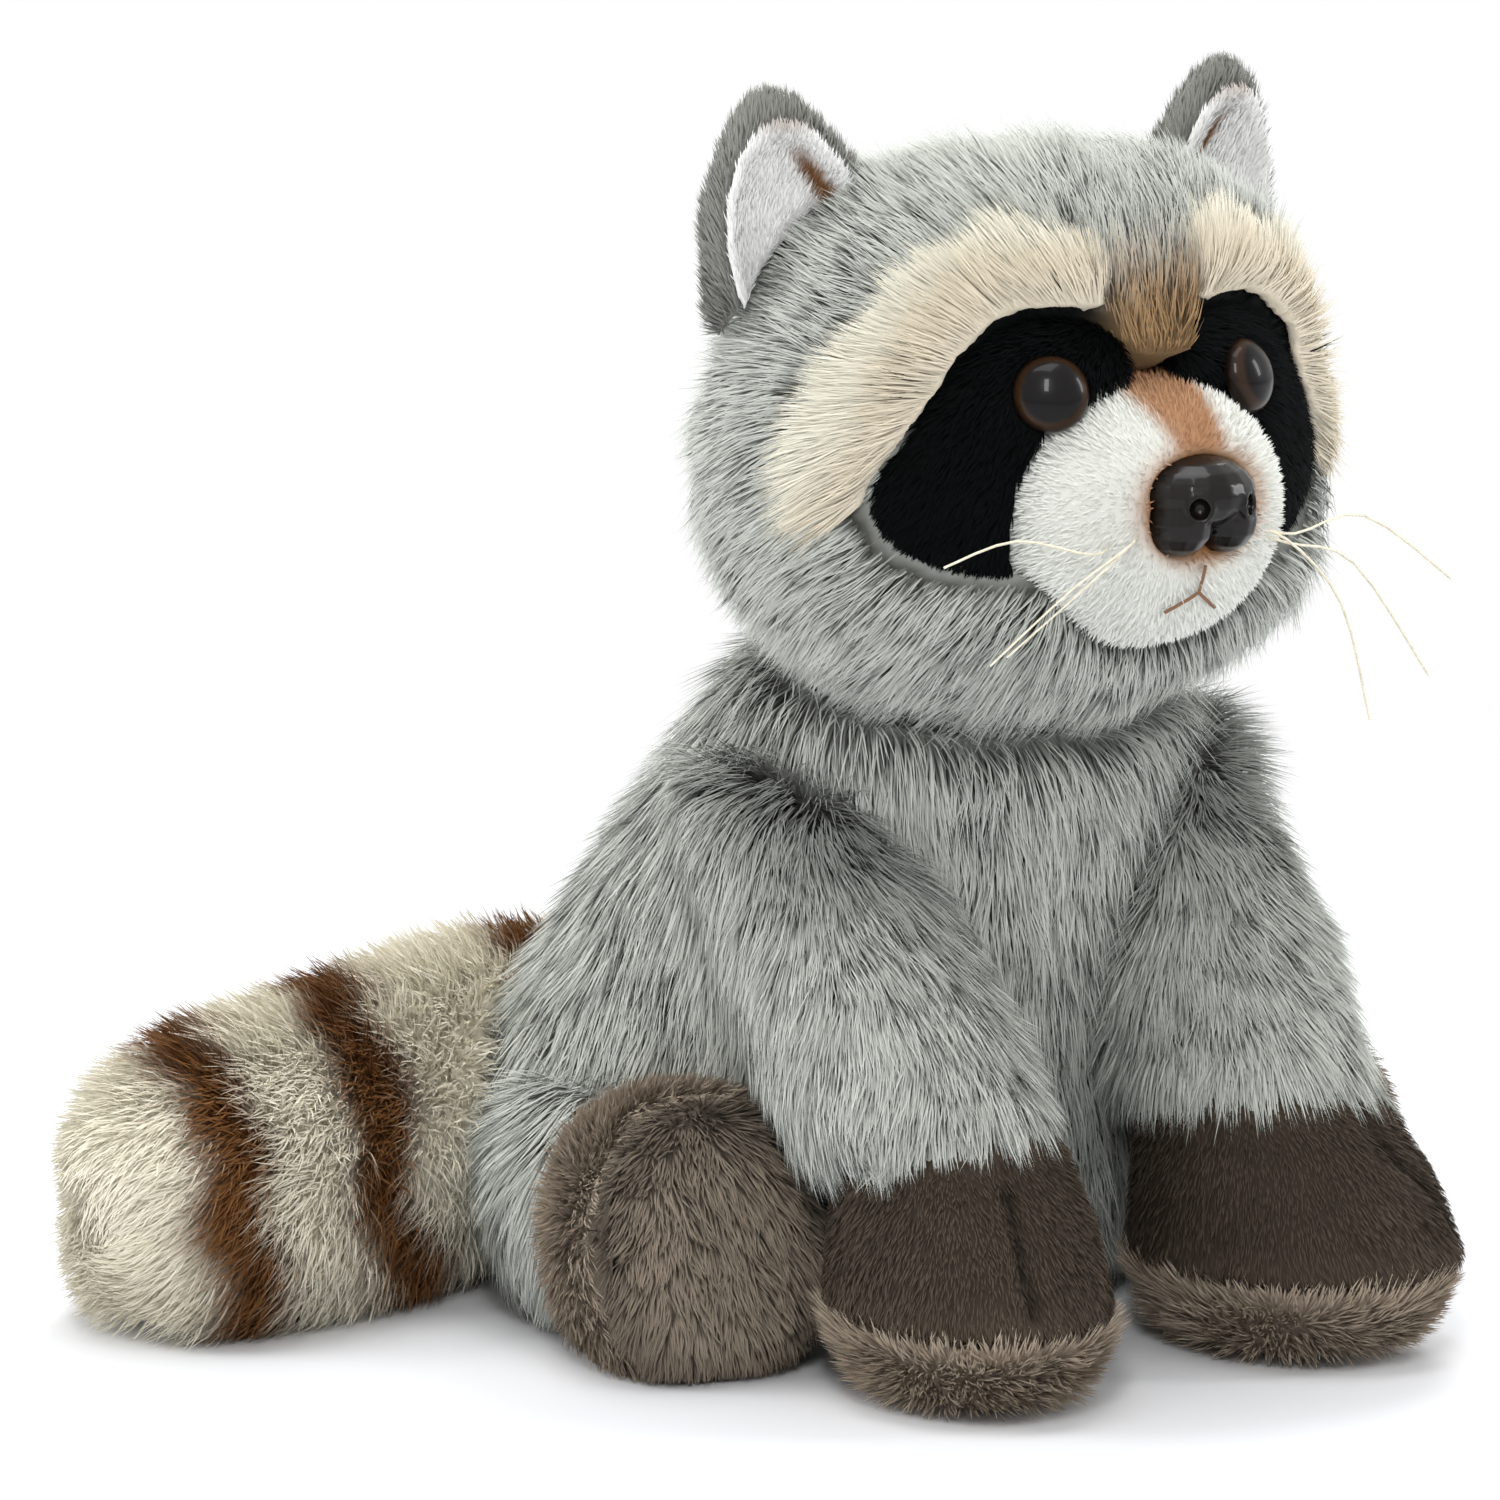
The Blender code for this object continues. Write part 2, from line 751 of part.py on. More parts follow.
def make_ears(head):
    """Each ear: a back with the rim, and a lining in its hollow."""
    for side_name, side in SIDES.items():
        leaf, bowl, inner = ear_forms(side_name, side, head)
        back = piece(leaf, f"ear_back_{side_name}", "ear_back")
        keep_clear(back, bowl, head)
        lining = piece(leaf, f"ear_lining_{side_name}", "ear_lining")
        boolean(lining, "INTERSECT", bowl)
        boolean(lining, "DIFFERENCE", inner)
        keep_clear(lining, head)


WHISKERS = {
    "left": (
        ((62.0, -12.0), (0.020, -0.001, 0.001), (0.038, -0.004, -0.012)),
        ((58.0, -16.0), (0.018, -0.002, -0.006), (0.034, -0.004, -0.028)),
        ((54.0, -14.0), (0.016, -0.002, -0.014), (0.022, -0.003, -0.036)),
    ),
    "right": (
        ((66.0, -12.0), (0.020, -0.001, 0.003), (0.037, -0.003, 0.000)),
        ((52.0, -10.0), (0.014, 0.000, -0.008), (0.028, 0.005, -0.021)),
        ((56.0, -14.0), (0.013, 0.000, -0.009), (0.024, 0.003, -0.018)),
    ),
}


def make_whiskers(muzzle_shape, muzzle):
    """Three stiff bristles a side, each in its own small hole in the muzzle."""
    centre = Vector((0, HEAD_Y - MUZZLE_FORWARD + MUZZLE_LENGTH / 3, HEAD_Z - MUZZLE_DROP))
    steps = 4
    for side_name, side in SIDES.items():
        for number, (aim, middle, end) in enumerate(WHISKERS[side_name], start=1):
            turn = math.radians(aim[0])
            drop = math.radians(aim[1])
            direction = Vector((side * math.sin(turn), -math.cos(turn), math.tan(drop)))
            direction.normalize()
            root, _normal = surface_point(muzzle_shape, centre, direction)
            inner = root - direction * WHISKER_SEAT
            outer = root + direction * WHISKER_SEAT
            bends = [Vector((side * x, y, z)) for x, y, z in (middle, end)]
            points = [inner, outer, root + bends[0], root + bends[1]]
            name = f"whisker_{side_name}_{number}"
            path = smooth_path(points, steps)
            tube = curve_mesh(f"{name}_form", path, WHISKER_RADIUS)
            piece(tube, name, "whisker")
            hole_path = [inner - direction * GAP, *path[1 : steps + 2]]
            hole = curve_mesh(f"{name}_hole", hole_path, WHISKER_RADIUS + GAP)
            boolean(muzzle, "DIFFERENCE", hole)


def make_mouth(muzzle_shape, nose_seat):
    """The mouth: one thread, down from the nose and out to both sides."""
    inside = Vector((0, HEAD_Y - MUZZLE_FORWARD + MUZZLE_LENGTH / 2, nose_seat.z))
    top_z = nose_seat.z - NOSE_HEIGHT / 2 - MOUTH_BELOW_NOSE
    fork_z = top_z - MOUTH_DROP
    half = MOUTH_WIDTH / 2

    def on_surface(x, z):
        """A point of the thread, lying on the muzzle."""
        start = Vector((x, inside.y, z))
        point, normal = surface_point(muzzle_shape, start, Vector((0, -1, 0)))
        return point + normal * (THREAD_RADIUS + GAP)

    steps = 4
    down = [on_surface(0, top_z + (fork_z - top_z) * step / steps) for step in range(steps + 1)]
    shares = [step / steps for step in range(1, steps + 1)]
    right = [on_surface(-half * share, fork_z - MOUTH_SAG * share) for share in shares]
    left = [on_surface(half * share, fork_z - MOUTH_SAG * share) for share in shares]
    stroke = curve_mesh("mouth_form", down + right, THREAD_RADIUS)
    branch = curve_mesh("mouth_branch", [down[-1]] + left, THREAD_RADIUS)
    mouth = piece(stroke, "mouth_stitch", "thread")
    boolean(mouth, "UNION", branch)


def front_leg_form(side_name, side):
    """A front leg: from inside the shoulder down to the wrist, fuller toward the paw.

    Each ring is a share of the way down, then its width and depth as shares of the leg's own.
    """
    shoulder = Vector((side * SHOULDER_X, SHOULDER_Y, SHOULDER_Z))
    wrist = Vector((side * WRIST_X, WRIST_Y, WRIST_Z))
    profile = (
        (-0.06, 0.50, 0.44, 0.0),
        (0.10, 0.76, 0.70, 0.0),
        (0.45, 0.87, 0.86, -0.003),
        (0.82, 1.01, 1.03, -0.003),
        (1.06, 0.88, 0.86, 0.0),
    )
    rings = []
    for share, width, depth, bow in profile:
        centre = shoulder.lerp(wrist, share)
        half_width = width * LEG_WIDTH / 2
        half_depth = depth * LEG_DEPTH / 2
        rings.append(level_ring(centre.x, centre.y + bow, centre.z, half_width, half_depth))
    return cage_form(f"front_leg_form_{side_name}", rings)


def paw_form(side_name, side):
    """A whole front paw: a block with a bulging foot and a top that runs up into the leg."""
    centre = Vector((side * WRIST_X, WRIST_Y - PAW_FORWARD, 0))
    turn = Matrix.Rotation(math.radians(side * PAW_SPLAY), 3, "Z")
    profile = (
        (-0.05, 0.56, 0.56, 0.03),
        (0.13, 0.92, 0.92, 0.01),
        (0.33, 1.03, 1.03, 0.0),
        (0.62, 0.97, 0.90, 0.05),
        (0.92, 0.72, 0.64, 0.13),
        (1.05, 0.40, 0.36, 0.15),
    )
    rings = []
    for share, width, length, back in profile:
        offset = turn @ Vector((0, back * PAW_LENGTH, 0))
        across = turn @ Vector((width * PAW_WIDTH / 2, 0, 0))
        along = turn @ Vector((0, length * PAW_LENGTH / 2, 0))
        middle = centre + offset + Vector((0, 0, share * PAW_HEIGHT))
        rings.append((middle, across, along))
    return cage_form(f"paw_form_{side_name}", rings)


def make_front_limbs(body, head):
    """The front legs, with paws and soles."""
    legs = {}
    for side_name, side in SIDES.items():
        leg_shape = front_leg_form(side_name, side)
        paw_shape = paw_form(side_name, side)
        leg = piece(leg_shape, f"front_leg_{side_name}", "leg")
        keep_clear(leg, body, head, paw_shape)
        seam = Vector((0, 0, SOLE_HEIGHT))
        paw, sole = split(
            paw_shape,
            (f"front_paw_{side_name}", "paw"),
            (f"front_sole_{side_name}", "sole"),
            seam,
            Vector((0, 0, 1)),
        )
        keep_clear(paw, body)
        rest_on_ground(sole)
        legs[side_name] = leg_shape
    return legs


def make_hind_limbs(body, legs):
    """The hind legs lie beside the body, each with a foot whose round sole looks forward."""
    thighs = {}
    for side_name, side in SIDES.items():
        turn = math.radians(FOOT_SPLAY)
        tilt = math.radians(FOOT_TILT)
        flat = math.cos(tilt)
        outward = Vector((side * math.sin(turn) * flat, -math.cos(turn) * flat, math.sin(tilt)))
        lift = FOOT_HEIGHT / 2
        front = Vector((side * FOOT_X, FOOT_Y, lift - FOOT_SQUASH))
        ankle = front - outward * FOOT_LENGTH
        hip = Vector((side * HIP_X, HIP_Y, THIGH_WIDTH / 2 + HIP_LIFT))
        thigh_radius = THIGH_WIDTH / 2
        thigh_path = [hip.lerp(ankle, share) for share in (-0.35, 0.0, 0.5, 1.0, 1.25)]
        thigh_shares = (0.50, 0.98, 1.06, 0.92, 0.55)
        thigh_radii = [share * thigh_radius for share in thigh_shares]
        thigh_rings = rings_along(thigh_path, thigh_radii)
        thigh = cage_form(f"hind_leg_form_{side_name}", thigh_rings, sides=10)
        foot_shares = (0.00, 0.28, 0.66, 0.92, 1.03)
        foot_sizes = (0.70, 0.96, 1.03, 0.92, 0.48)
        foot_path = [ankle.lerp(front, share) for share in foot_shares]
        foot_widths = [size * FOOT_WIDTH / 2 for size in foot_sizes]
        foot_heights = [size * FOOT_HEIGHT / 2 for size in foot_sizes]
        foot_rings = rings_along(foot_path, foot_widths, foot_heights)
        foot_shape = cage_form(f"foot_form_{side_name}", foot_rings)
        thighs[side_name] = thigh
        leg = piece(thigh, f"hind_leg_{side_name}", "leg")
        rest_on_ground(leg)
        keep_clear(leg, body, foot_shape)
        sole, foot = split(
            foot_shape,
            (f"hind_sole_{side_name}", "sole"),
            (f"hind_foot_{side_name}", "paw"),
            front - outward * FOOT_SOLE,
            outward,
        )
        rest_on_ground(sole, foot)
        for made in (sole, foot):
            keep_clear(made, legs[side_name])
        keep_clear(foot, body)
    return thighs


def tail_form():
    """The tail: one fat tube, out of the rump and round along the ground.

    The path's points are shares of the tail's length, sideways and back, and of its rise.
    """
    rest_z = TAIL_THICKNESS / 2 - TAIL_SQUASH
    route = (
        (0.08, -0.03, 0.90),
        (-0.16, 0.02, 0.80),
        (-0.36, -0.02, 0.45),
        (-0.57, -0.10, 0.15),
        (-0.76, -0.145, 0.00),
        (-0.90, -0.175, 0.00),
        (-1.00, -0.19, 0.00),
    )
    sizes = (0.62, 0.94, 1.02, 1.03, 1.02, 0.84, 0.42)
    path = []
    for sideways, back, rise in route:
        y = TAIL_ROOT_Y + back * TAIL_LENGTH
        z = rest_z + rise * (TAIL_ROOT_Z - rest_z)
        path.append(Vector((sideways * TAIL_LENGTH, y, z)))
    radii = [size * TAIL_THICKNESS / 2 for size in sizes]
    return cage_form("tail_form", rings_along(path, radii))


def build():
    """Make every piece, in the order in which they are cut to each other."""
    head = head_form()
    body = body_form()
    head_piece = piece(head, "head", "head")
    body_piece = piece(body, "body", "body")
    rest_on_ground(body_piece)
    keep_clear(body_piece, head)
    muzzle_shape = muzzle_form()
    muzzle = piece(muzzle_shape, "muzzle", "muzzle")
    keep_clear(head_piece, muzzle_shape)
    masks = make_face_panels(head, head_piece, muzzle_shape)
    make_eyes(head, head_piece, muzzle, masks)
    nose_seat = make_nose(muzzle_shape, muzzle)
    make_whiskers(muzzle_shape, muzzle)
    make_mouth(muzzle_shape, nose_seat)
    make_ears(head)
    legs = make_front_limbs(body, head)
    thighs = make_hind_limbs(body, legs)
    tail = tail_form()
    tail_piece = piece(tail, "tail", "tail")
    rest_on_ground(tail_piece)
    keep_clear(tail_piece, thighs["right"], body)


build()
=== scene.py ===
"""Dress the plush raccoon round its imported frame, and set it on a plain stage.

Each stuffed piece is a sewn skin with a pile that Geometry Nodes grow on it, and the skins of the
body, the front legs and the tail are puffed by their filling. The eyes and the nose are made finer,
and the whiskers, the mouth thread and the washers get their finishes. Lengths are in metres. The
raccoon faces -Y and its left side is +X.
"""
import math
from dataclasses import dataclass

import bmesh
import bpy
import numpy as np
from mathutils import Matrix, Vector
from mathutils.bvhtree import BVHTree


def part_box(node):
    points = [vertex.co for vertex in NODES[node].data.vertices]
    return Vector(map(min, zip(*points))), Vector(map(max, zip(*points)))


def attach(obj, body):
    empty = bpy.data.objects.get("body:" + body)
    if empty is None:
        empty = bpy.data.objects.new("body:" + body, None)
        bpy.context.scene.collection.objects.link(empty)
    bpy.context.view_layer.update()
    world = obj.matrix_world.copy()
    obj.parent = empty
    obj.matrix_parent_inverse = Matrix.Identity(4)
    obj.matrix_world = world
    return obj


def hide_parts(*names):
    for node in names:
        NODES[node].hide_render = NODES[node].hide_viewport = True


bl_info = {
    "name": "Plush Raccoon",
    "version": (1, 0, 0),
    "blender": (4, 5, 0),
    "location": "View3D > Sidebar > Raccoon",
    "description": "Makes the pile, the eyes, the nose and the stage of a plush raccoon",
    "category": "Object",
}

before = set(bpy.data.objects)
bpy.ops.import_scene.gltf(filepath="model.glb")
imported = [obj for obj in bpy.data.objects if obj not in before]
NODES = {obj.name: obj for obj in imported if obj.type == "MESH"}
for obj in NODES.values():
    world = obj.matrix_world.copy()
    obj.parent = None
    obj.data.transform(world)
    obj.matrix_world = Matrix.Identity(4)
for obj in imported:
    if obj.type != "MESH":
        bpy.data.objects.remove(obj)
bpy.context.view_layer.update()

SIDES = {"left": 1, "right": -1}
UP = Vector((0, 0, 1))

# Attributes that the skins carry to the strands and the strands to the materials
LAY = "lay"
PILE = "pile"
GROW = "grow"
SKIN_NORMAL = "skin_normal"
# The root colour is darker than the tip: partly the pile's own colour at its roots, partly painted shade
# deep in the pile, and the skin between the strands shows it too
ROOT_COLOUR = "root_colour"
TIP_COLOUR = "tip_colour"
STRAND_ROOT = "root"
ALONG = "along"
ACROSS = "across"
STRAND = "strand"
SHADE = "shade"


def linear(red, green, blue):
    """A colour as a screen shows it, from 0 to 255 a channel, as linear light."""
    channels = []
    for value in (red, green, blue):
        share = value / 255
        channels.append(share / 12.92 if share <= 0.04045 else ((share + 0.055) / 1.055) ** 2.4)
    return tuple(channels)


def colour_setting(name, description, default):
    """A colour that the sidebar lists."""
    return bpy.props.FloatVectorProperty(
        name=name, description=description, subtype="COLOR", size=3, min=0, max=1, default=default
    )


def length_setting(name, description, default):
    """A length that the sidebar lists."""
    return bpy.props.FloatProperty(
        name=name, description=description, subtype="DISTANCE", unit="LENGTH", min=0, default=default
    )


class RaccoonPile(bpy.types.PropertyGroup):
    """Lengths of the pile."""

    body: length_setting("Body pile", "Length of the grey pile on the body", 0.017)
    head: length_setting("Head pile", "Length of the grey pile on the head", 0.0135)
    leg: length_setting("Leg pile", "Length of the grey pile on the front legs", 0.015)
    brow: length_setting("Brow pile", "Length of the cream pile over the mask", 0.0120)
    tail: length_setting("Tail pile", "Length of the pile on the tail", 0.0135)
    short: length_setting("Short pile", "Length of the pile on the mask and the muzzle", 0.0030)
    ear: length_setting("Ear pile", "Length of the pile on the backs of the ears", 0.0046)
    paw: length_setting("Paw pile", "Length of the pile on the paws", 0.0028)
    sole: length_setting("Sole pile", "Length of the pile on the soles", 0.0065)


class RaccoonColours(bpy.types.PropertyGroup):
    """Colours of the pile and of the moulded pieces."""

    grey_tip: colour_setting("Grey tips", "Frosted ends of the grey pile", linear(198, 201, 194))
    # The grey roots are partly the pile's own darker colour and partly painted shade deep in the pile
    grey_root: colour_setting("Grey roots", "Roots of the grey pile", linear(66, 66, 61))
    cream: colour_setting("Cream", "Brows", linear(234, 230, 214))
    pale: colour_setting("Pale cream", "Tail", linear(250, 244, 226))
    tan: colour_setting("Tan", "Brows next to the mask", linear(218, 200, 172))
    brown: colour_setting("Brown", "Rings of the tail", linear(126, 86, 50))
    patch: colour_setting("Forehead patch", "Brown-grey between the brows", linear(168, 136, 98))
    black: colour_setting("Black", "Pile of the mask", linear(3, 5, 6))
    white: colour_setting("White", "Pile of the muzzle", linear(238, 239, 232))
    lining: colour_setting("Ear lining", "Bright white pile", linear(252, 252, 250))
    halo: colour_setting("Halo", "Brown tint round the nose", linear(178, 124, 76))
    ear_back: colour_setting("Ear backs", "Dark grey pile", linear(150, 150, 144))
    paw: colour_setting("Paws", "Dark taupe pile", linear(80, 70, 60))
    sole: colour_setting("Soles", "Light taupe pile", linear(180, 165, 147))
    nose: colour_setting("Nose", "Brown-black plastic", linear(20, 15, 13))
    iris: colour_setting("Iris", "Amber ring of the eyes", linear(52, 34, 20))


class RaccoonStage(bpy.types.PropertyGroup):
    """The camera's place."""

    azimuth: bpy.props.FloatProperty(
        name="Azimuth", description="Camera's turn round the toy", subtype="ANGLE",
        default=math.radians(-34)
    )
    elevation: bpy.props.FloatProperty(
        name="Elevation", description="Camera's height as an angle", subtype="ANGLE",
        default=math.radians(10)
    )
    distance: length_setting("Distance", "From the camera to what it looks at", 2.0)


def settings():
    """The three groups of settings."""
    scene = bpy.context.scene
    return scene.raccoon_pile, scene.raccoon_colours, scene.raccoon_stage


class Wiring:
    """Adds nodes to a tree and links them, with plain numbers put on the sockets themselves."""

    def __init__(self, tree):
        self.tree = tree

    def feed(self, socket, value):
        """Link a socket to another, or set its own value."""
        if isinstance(value, bpy.types.NodeSocket):
            self.tree.links.new(value, socket)
        else:
            socket.default_value = value

    def feed_all(self, node, inputs):
        """Feed a node's inputs, by name or by number."""
        for key, value in inputs.items():
            self.feed(node.inputs[key], value)

    def add(self, kind, inputs=None, **options):
        """A node with its options set and its inputs fed, by name or by number."""
        node = self.tree.nodes.new(kind)
        for key, value in options.items():
            setattr(node, key, value)
        self.feed_all(node, inputs or {})
        return node

    def math(self, operation, first, second=0.0):
        """One step of arithmetic."""
        node = self.add("ShaderNodeMath", {0: first, 1: second}, operation=operation)
        return node.outputs["Value"]

    def vector(self, operation, first, second=(0.0, 0.0, 0.0)):
        """One step of arithmetic on vectors."""
        node = self.add("ShaderNodeVectorMath", {0: first, 1: second}, operation=operation)
        return node.outputs["Value" if operation == "DOT_PRODUCT" else "Vector"]

    def scaled(self, vector, amount):
        """A vector times a number."""
        node = self.add("ShaderNodeVectorMath", {0: vector, "Scale": amount}, operation="SCALE")
        return node.outputs["Vector"]

    def range(self, value, low, high, start=0.0, end=1.0):
        """A value moved from one range to another and kept in it."""
        inputs = {"Value": value, "From Min": low, "From Max": high, "To Min": start, "To Max": end}
        return self.add("ShaderNodeMapRange", inputs, interpolation_type="SMOOTHSTEP").outputs[0]

    def mix(self, share, first, second):
        """Two colours mixed by a share."""
        node = self.add("ShaderNodeMix", data_type="RGBA", clamp_factor=True)
        colours = [socket for socket in node.inputs if socket.type == "RGBA"]
        self.feed(node.inputs[0], share)
        self.feed(colours[0], first)
        self.feed(colours[1], second)
        return next(socket for socket in node.outputs if socket.type == "RGBA")

    def noise(self, scale, detail):
        """A noise through the piece, from 0 to 1."""
        place = self.add("ShaderNodeTexCoord").outputs["Object"]
        inputs = {"Vector": place, "Scale": scale, "Detail": detail}
        return self.add("ShaderNodeTexNoise", inputs).outputs[0]

    def named(self, name, kind="FLOAT"):
        """A named attribute in a Geometry Nodes tree."""
        node = self.add("GeometryNodeInputNamedAttribute", {"Name": name}, data_type=kind)
        return node.outputs["Attribute"]

    def stored(self, geometry, name, value, kind="FLOAT", domain="POINT"):
        """A geometry that carries one more named attribute."""
        node = self.add("GeometryNodeStoreNamedAttribute", data_type=kind, domain=domain)
        self.feed(node.inputs["Geometry"], geometry)
        self.feed(node.inputs["Name"], name)
        self.feed(node.inputs["Value"], value)
        return node.outputs["Geometry"]


PILE_INPUTS = (
    ("Skin", "NodeSocketGeometry"),
    ("Strand", "NodeSocketObject"),
    ("Density", "NodeSocketFloat"),
    ("Seed", "NodeSocketInt"),
    ("Width", "NodeSocketFloat"),
    ("Lift", "NodeSocketFloat"),
    ("Droop", "NodeSocketFloat"),
    ("Tuft Size", "NodeSocketFloat"),
    ("Tuft Pull", "NodeSocketFloat"),
    ("Wave", "NodeSocketFloat"),
    ("Stray", "NodeSocketFloat"),
    ("Material", "NodeSocketMaterial"),
)
WAVE_SIZE = 0.013
FAR = 10.0
FLOOR_CLEARANCE = 0.0003
SHORTEST_SHARE = 0.72
LONGEST_SHARE = 1.08
TWIST = 0.7


def pile_tree():
    """The tree that grows strands on a skin, combed, drooping and drawn together into tufts."""
    tree = bpy.data.node_groups.new("Pile", "GeometryNodeTree")
    for name, kind in PILE_INPUTS:
        tree.interface.new_socket(name, in_out="INPUT", socket_type=kind)
    tree.interface.new_socket("Piece", in_out="OUTPUT", socket_type="NodeSocketGeometry")
    wire = Wiring(tree)
    given = wire.add("NodeGroupInput").outputs
    density = wire.math("MULTIPLY", given["Density"], wire.named(GROW))
    spots = {"Mesh": given["Skin"], "Density": density, "Seed": given["Seed"]}
    points = wire.add("GeometryNodeDistributePointsOnFaces", spots).outputs["Points"]
    place = wire.add("GeometryNodeInputPosition").outputs["Position"]
    number = wire.math("ADD", wire.add("GeometryNodeInputIndex").outputs["Index"], 1.0)
    shade = wire.add("FunctionNodeRandomValue", {8: given["Seed"]}).outputs[1]
    points = wire.stored(points, STRAND_ROOT, place, "FLOAT_VECTOR")
    points = wire.stored(points, STRAND, number, "INT")
    points = wire.stored(points, SHADE, shade)

    normal = wire.named(SKIN_NORMAL, "FLOAT_VECTOR")
    lay = wire.named(LAY, "FLOAT_VECTOR")
    pile = wire.named(PILE)
    span = {0: (-1, -1, -1), 1: (1, 1, 1)}
    scatter = wire.add("FunctionNodeRandomValue", {**span, 8: 11}, data_type="FLOAT_VECTOR").outputs[0]
    twist = wire.add("FunctionNodeRandomValue", {**span, 8: 12}, data_type="FLOAT_VECTOR").outputs[0]
    flat = wire.math("SUBTRACT", 1.0, given["Lift"])
    aim = wire.vector("ADD", wire.scaled(lay, flat), wire.scaled(normal, given["Lift"]))
    aim = wire.vector("ADD", aim, wire.scaled(scatter, given["Stray"]))
    aim = wire.vector("NORMALIZE", aim)
    side = wire.vector("NORMALIZE", wire.vector("CROSS_PRODUCT", aim, normal))
    side = wire.vector("ADD", side, wire.scaled(twist, TWIST))
    axes = {"Primary Axis": aim, "Secondary Axis": side}
    turn = wire.add("FunctionNodeAxesToRotation", axes, primary_axis="Z", secondary_axis="X").outputs[0]
    limits = {2: SHORTEST_SHARE, 3: LONGEST_SHARE, 8: 13}
    share = wire.add("FunctionNodeRandomValue", limits).outputs[1]
    height = wire.math("MULTIPLY", pile, share)
    size = {"X": given["Width"], "Y": 1.0, "Z": height}
    scale = wire.add("ShaderNodeCombineXYZ", size).outputs["Vector"]
    strand = wire.add("GeometryNodeObjectInfo", {"Object": given["Strand"]}).outputs["Geometry"]
    growing = {"Points": points, "Instance": strand, "Rotation": turn, "Scale": scale}
    strands = wire.add("GeometryNodeInstanceOnPoints", growing).outputs["Instances"]
    strands = wire.add("GeometryNodeRealizeInstances", {"Geometry": strands}).outputs["Geometry"]

    along = wire.named(ALONG)
    bend = wire.math("MULTIPLY", along, along)
    reach = wire.math("MULTIPLY", bend, pile)
    root = wire.named(STRAND_ROOT, "FLOAT_VECTOR")
    fall = wire.math("MULTIPLY", reach, given["Droop"])
    droop = wire.scaled(wire.vector("SUBTRACT", wire.scaled(lay, 0.6), normal), fall)
    cells = wire.math("DIVIDE", 1.0, given["Tuft Size"])
    tufts = wire.add("ShaderNodeTexVoronoi", {"Vector": root, "Scale": cells}).outputs["Position"]
    pull = wire.vector("SUBTRACT", tufts, root)
    outward = wire.scaled(normal, wire.vector("DOT_PRODUCT", pull, normal))
    pull = wire.vector("SUBTRACT", pull, outward)
    pull = wire.scaled(pull, wire.math("MULTIPLY", bend, given["Tuft Pull"]))
    ripples = {"Vector": root, "Scale": 1 / WAVE_SIZE, "Detail": 1.0}
    noise = wire.add("ShaderNodeTexNoise", ripples).outputs["Color"]
    wave = wire.vector("SUBTRACT", noise, (0.5, 0.5, 0.5))
    wave = wire.scaled(wave, wire.math("MULTIPLY", reach, given["Wave"]))
    offset = wire.vector("ADD", wire.vector("ADD", droop, pull), wave)
    bent = {"Geometry": strands, "Offset": offset}
    strands = wire.add("GeometryNodeSetPosition", bent).outputs["Geometry"]
    ends = wire.add("GeometryNodeInputPosition").outputs["Position"]
    above = wire.vector("MAXIMUM", ends, (-FAR, -FAR, FLOOR_CLEARANCE))
    resting = {"Geometry": strands, "Position": above}
    strands = wire.add("GeometryNodeSetPosition", resting).outputs["Geometry"]

    joined = wire.add("GeometryNodeJoinGeometry")
    for part in (given["Skin"], strands):
        tree.links.new(part, joined.inputs["Geometry"])
    coat = {"Geometry": joined.outputs["Geometry"], "Material": given["Material"]}
    dressed = wire.add("GeometryNodeSetMaterial", coat).outputs["Geometry"]
    dressed = wire.add("GeometryNodeSetShadeSmooth", {0: dressed}).outputs[0]
    wire.feed(wire.add("NodeGroupOutput").inputs["Piece"], dressed)
    return tree


STRAND_PROFILE = ((0.0, 1.0), (0.5, 0.82), (1.0, 0.0))


def strand_object(name):
    """One strand, a metre long and wide, tapering to a point."""
    builder = bmesh.new()
    along = builder.verts.layers.float.new(ALONG)
    across = builder.verts.layers.float.new(ACROSS)
    rows = []
    for height, width in STRAND_PROFILE:
        row = []
        for side in ((-0.5, 0.5) if width else (0.0,)):
            vert = builder.verts.new((side * width, 0, height))
            vert[along] = height
            vert[across] = side + 0.5
            row.append(vert)
        rows.append(row)
    for low, high in zip(rows, rows[1:]):
        builder.faces.new((low[0], low[1], *reversed(high)))
    mesh = bpy.data.meshes.new(name)
    builder.to_mesh(mesh)
    builder.free()
    return linked(name, mesh)


def set_input(modifier, name, value):
    """Set a modifier's input by its socket's identifier."""
    for item in modifier.node_group.interface.items_tree:
        if item.item_type == "SOCKET" and item.in_out == "INPUT" and item.name == name:
            modifier[item.identifier] = value


def linked(name, data):
    """An object for a mesh, a lamp or a camera, in the scene."""
    made = bpy.data.objects.new(name, data)
    bpy.context.scene.collection.objects.link(made)
    return made


def settled(obj):
    """Apply an object's modifiers to its mesh."""
    graph = bpy.context.evaluated_depsgraph_get()
    mesh = bpy.data.meshes.new_from_object(obj.evaluated_get(graph))
    obj.modifiers.clear()
    old = obj.data
    obj.data = mesh
    bpy.data.meshes.remove(old)
    return obj


def node_copy(name, node):
    """A copy of a CAD node's mesh with its loose triangles merged."""
    builder = bmesh.new()
    builder.from_mesh(NODES[node].data)
    bmesh.ops.remove_doubles(builder, verts=builder.verts, dist=1e-6)
    mesh = bpy.data.meshes.new(name)
    builder.to_mesh(mesh)
    builder.free()
    return linked(name, mesh)


def remeshed(name, node, voxel, smoothing):
    """A CAD node's form as an even mesh with its edges softened."""
    made = node_copy(name, node)
    remesh = made.modifiers.new("even", "REMESH")
    remesh.mode = "VOXEL"
    remesh.voxel_size = voxel
    soften = made.modifiers.new("soften", "SMOOTH")
    soften.factor = 0.5
    soften.iterations = smoothing
    return settled(made)


def points_of(mesh, kind="co"):
    """A mesh's points, or its normals at them, as an array."""
    flat = np.empty(len(mesh.vertices) * 3, np.float32)
    mesh.vertices.foreach_get(kind, flat)
    return flat.reshape(-1, 3).astype(float)


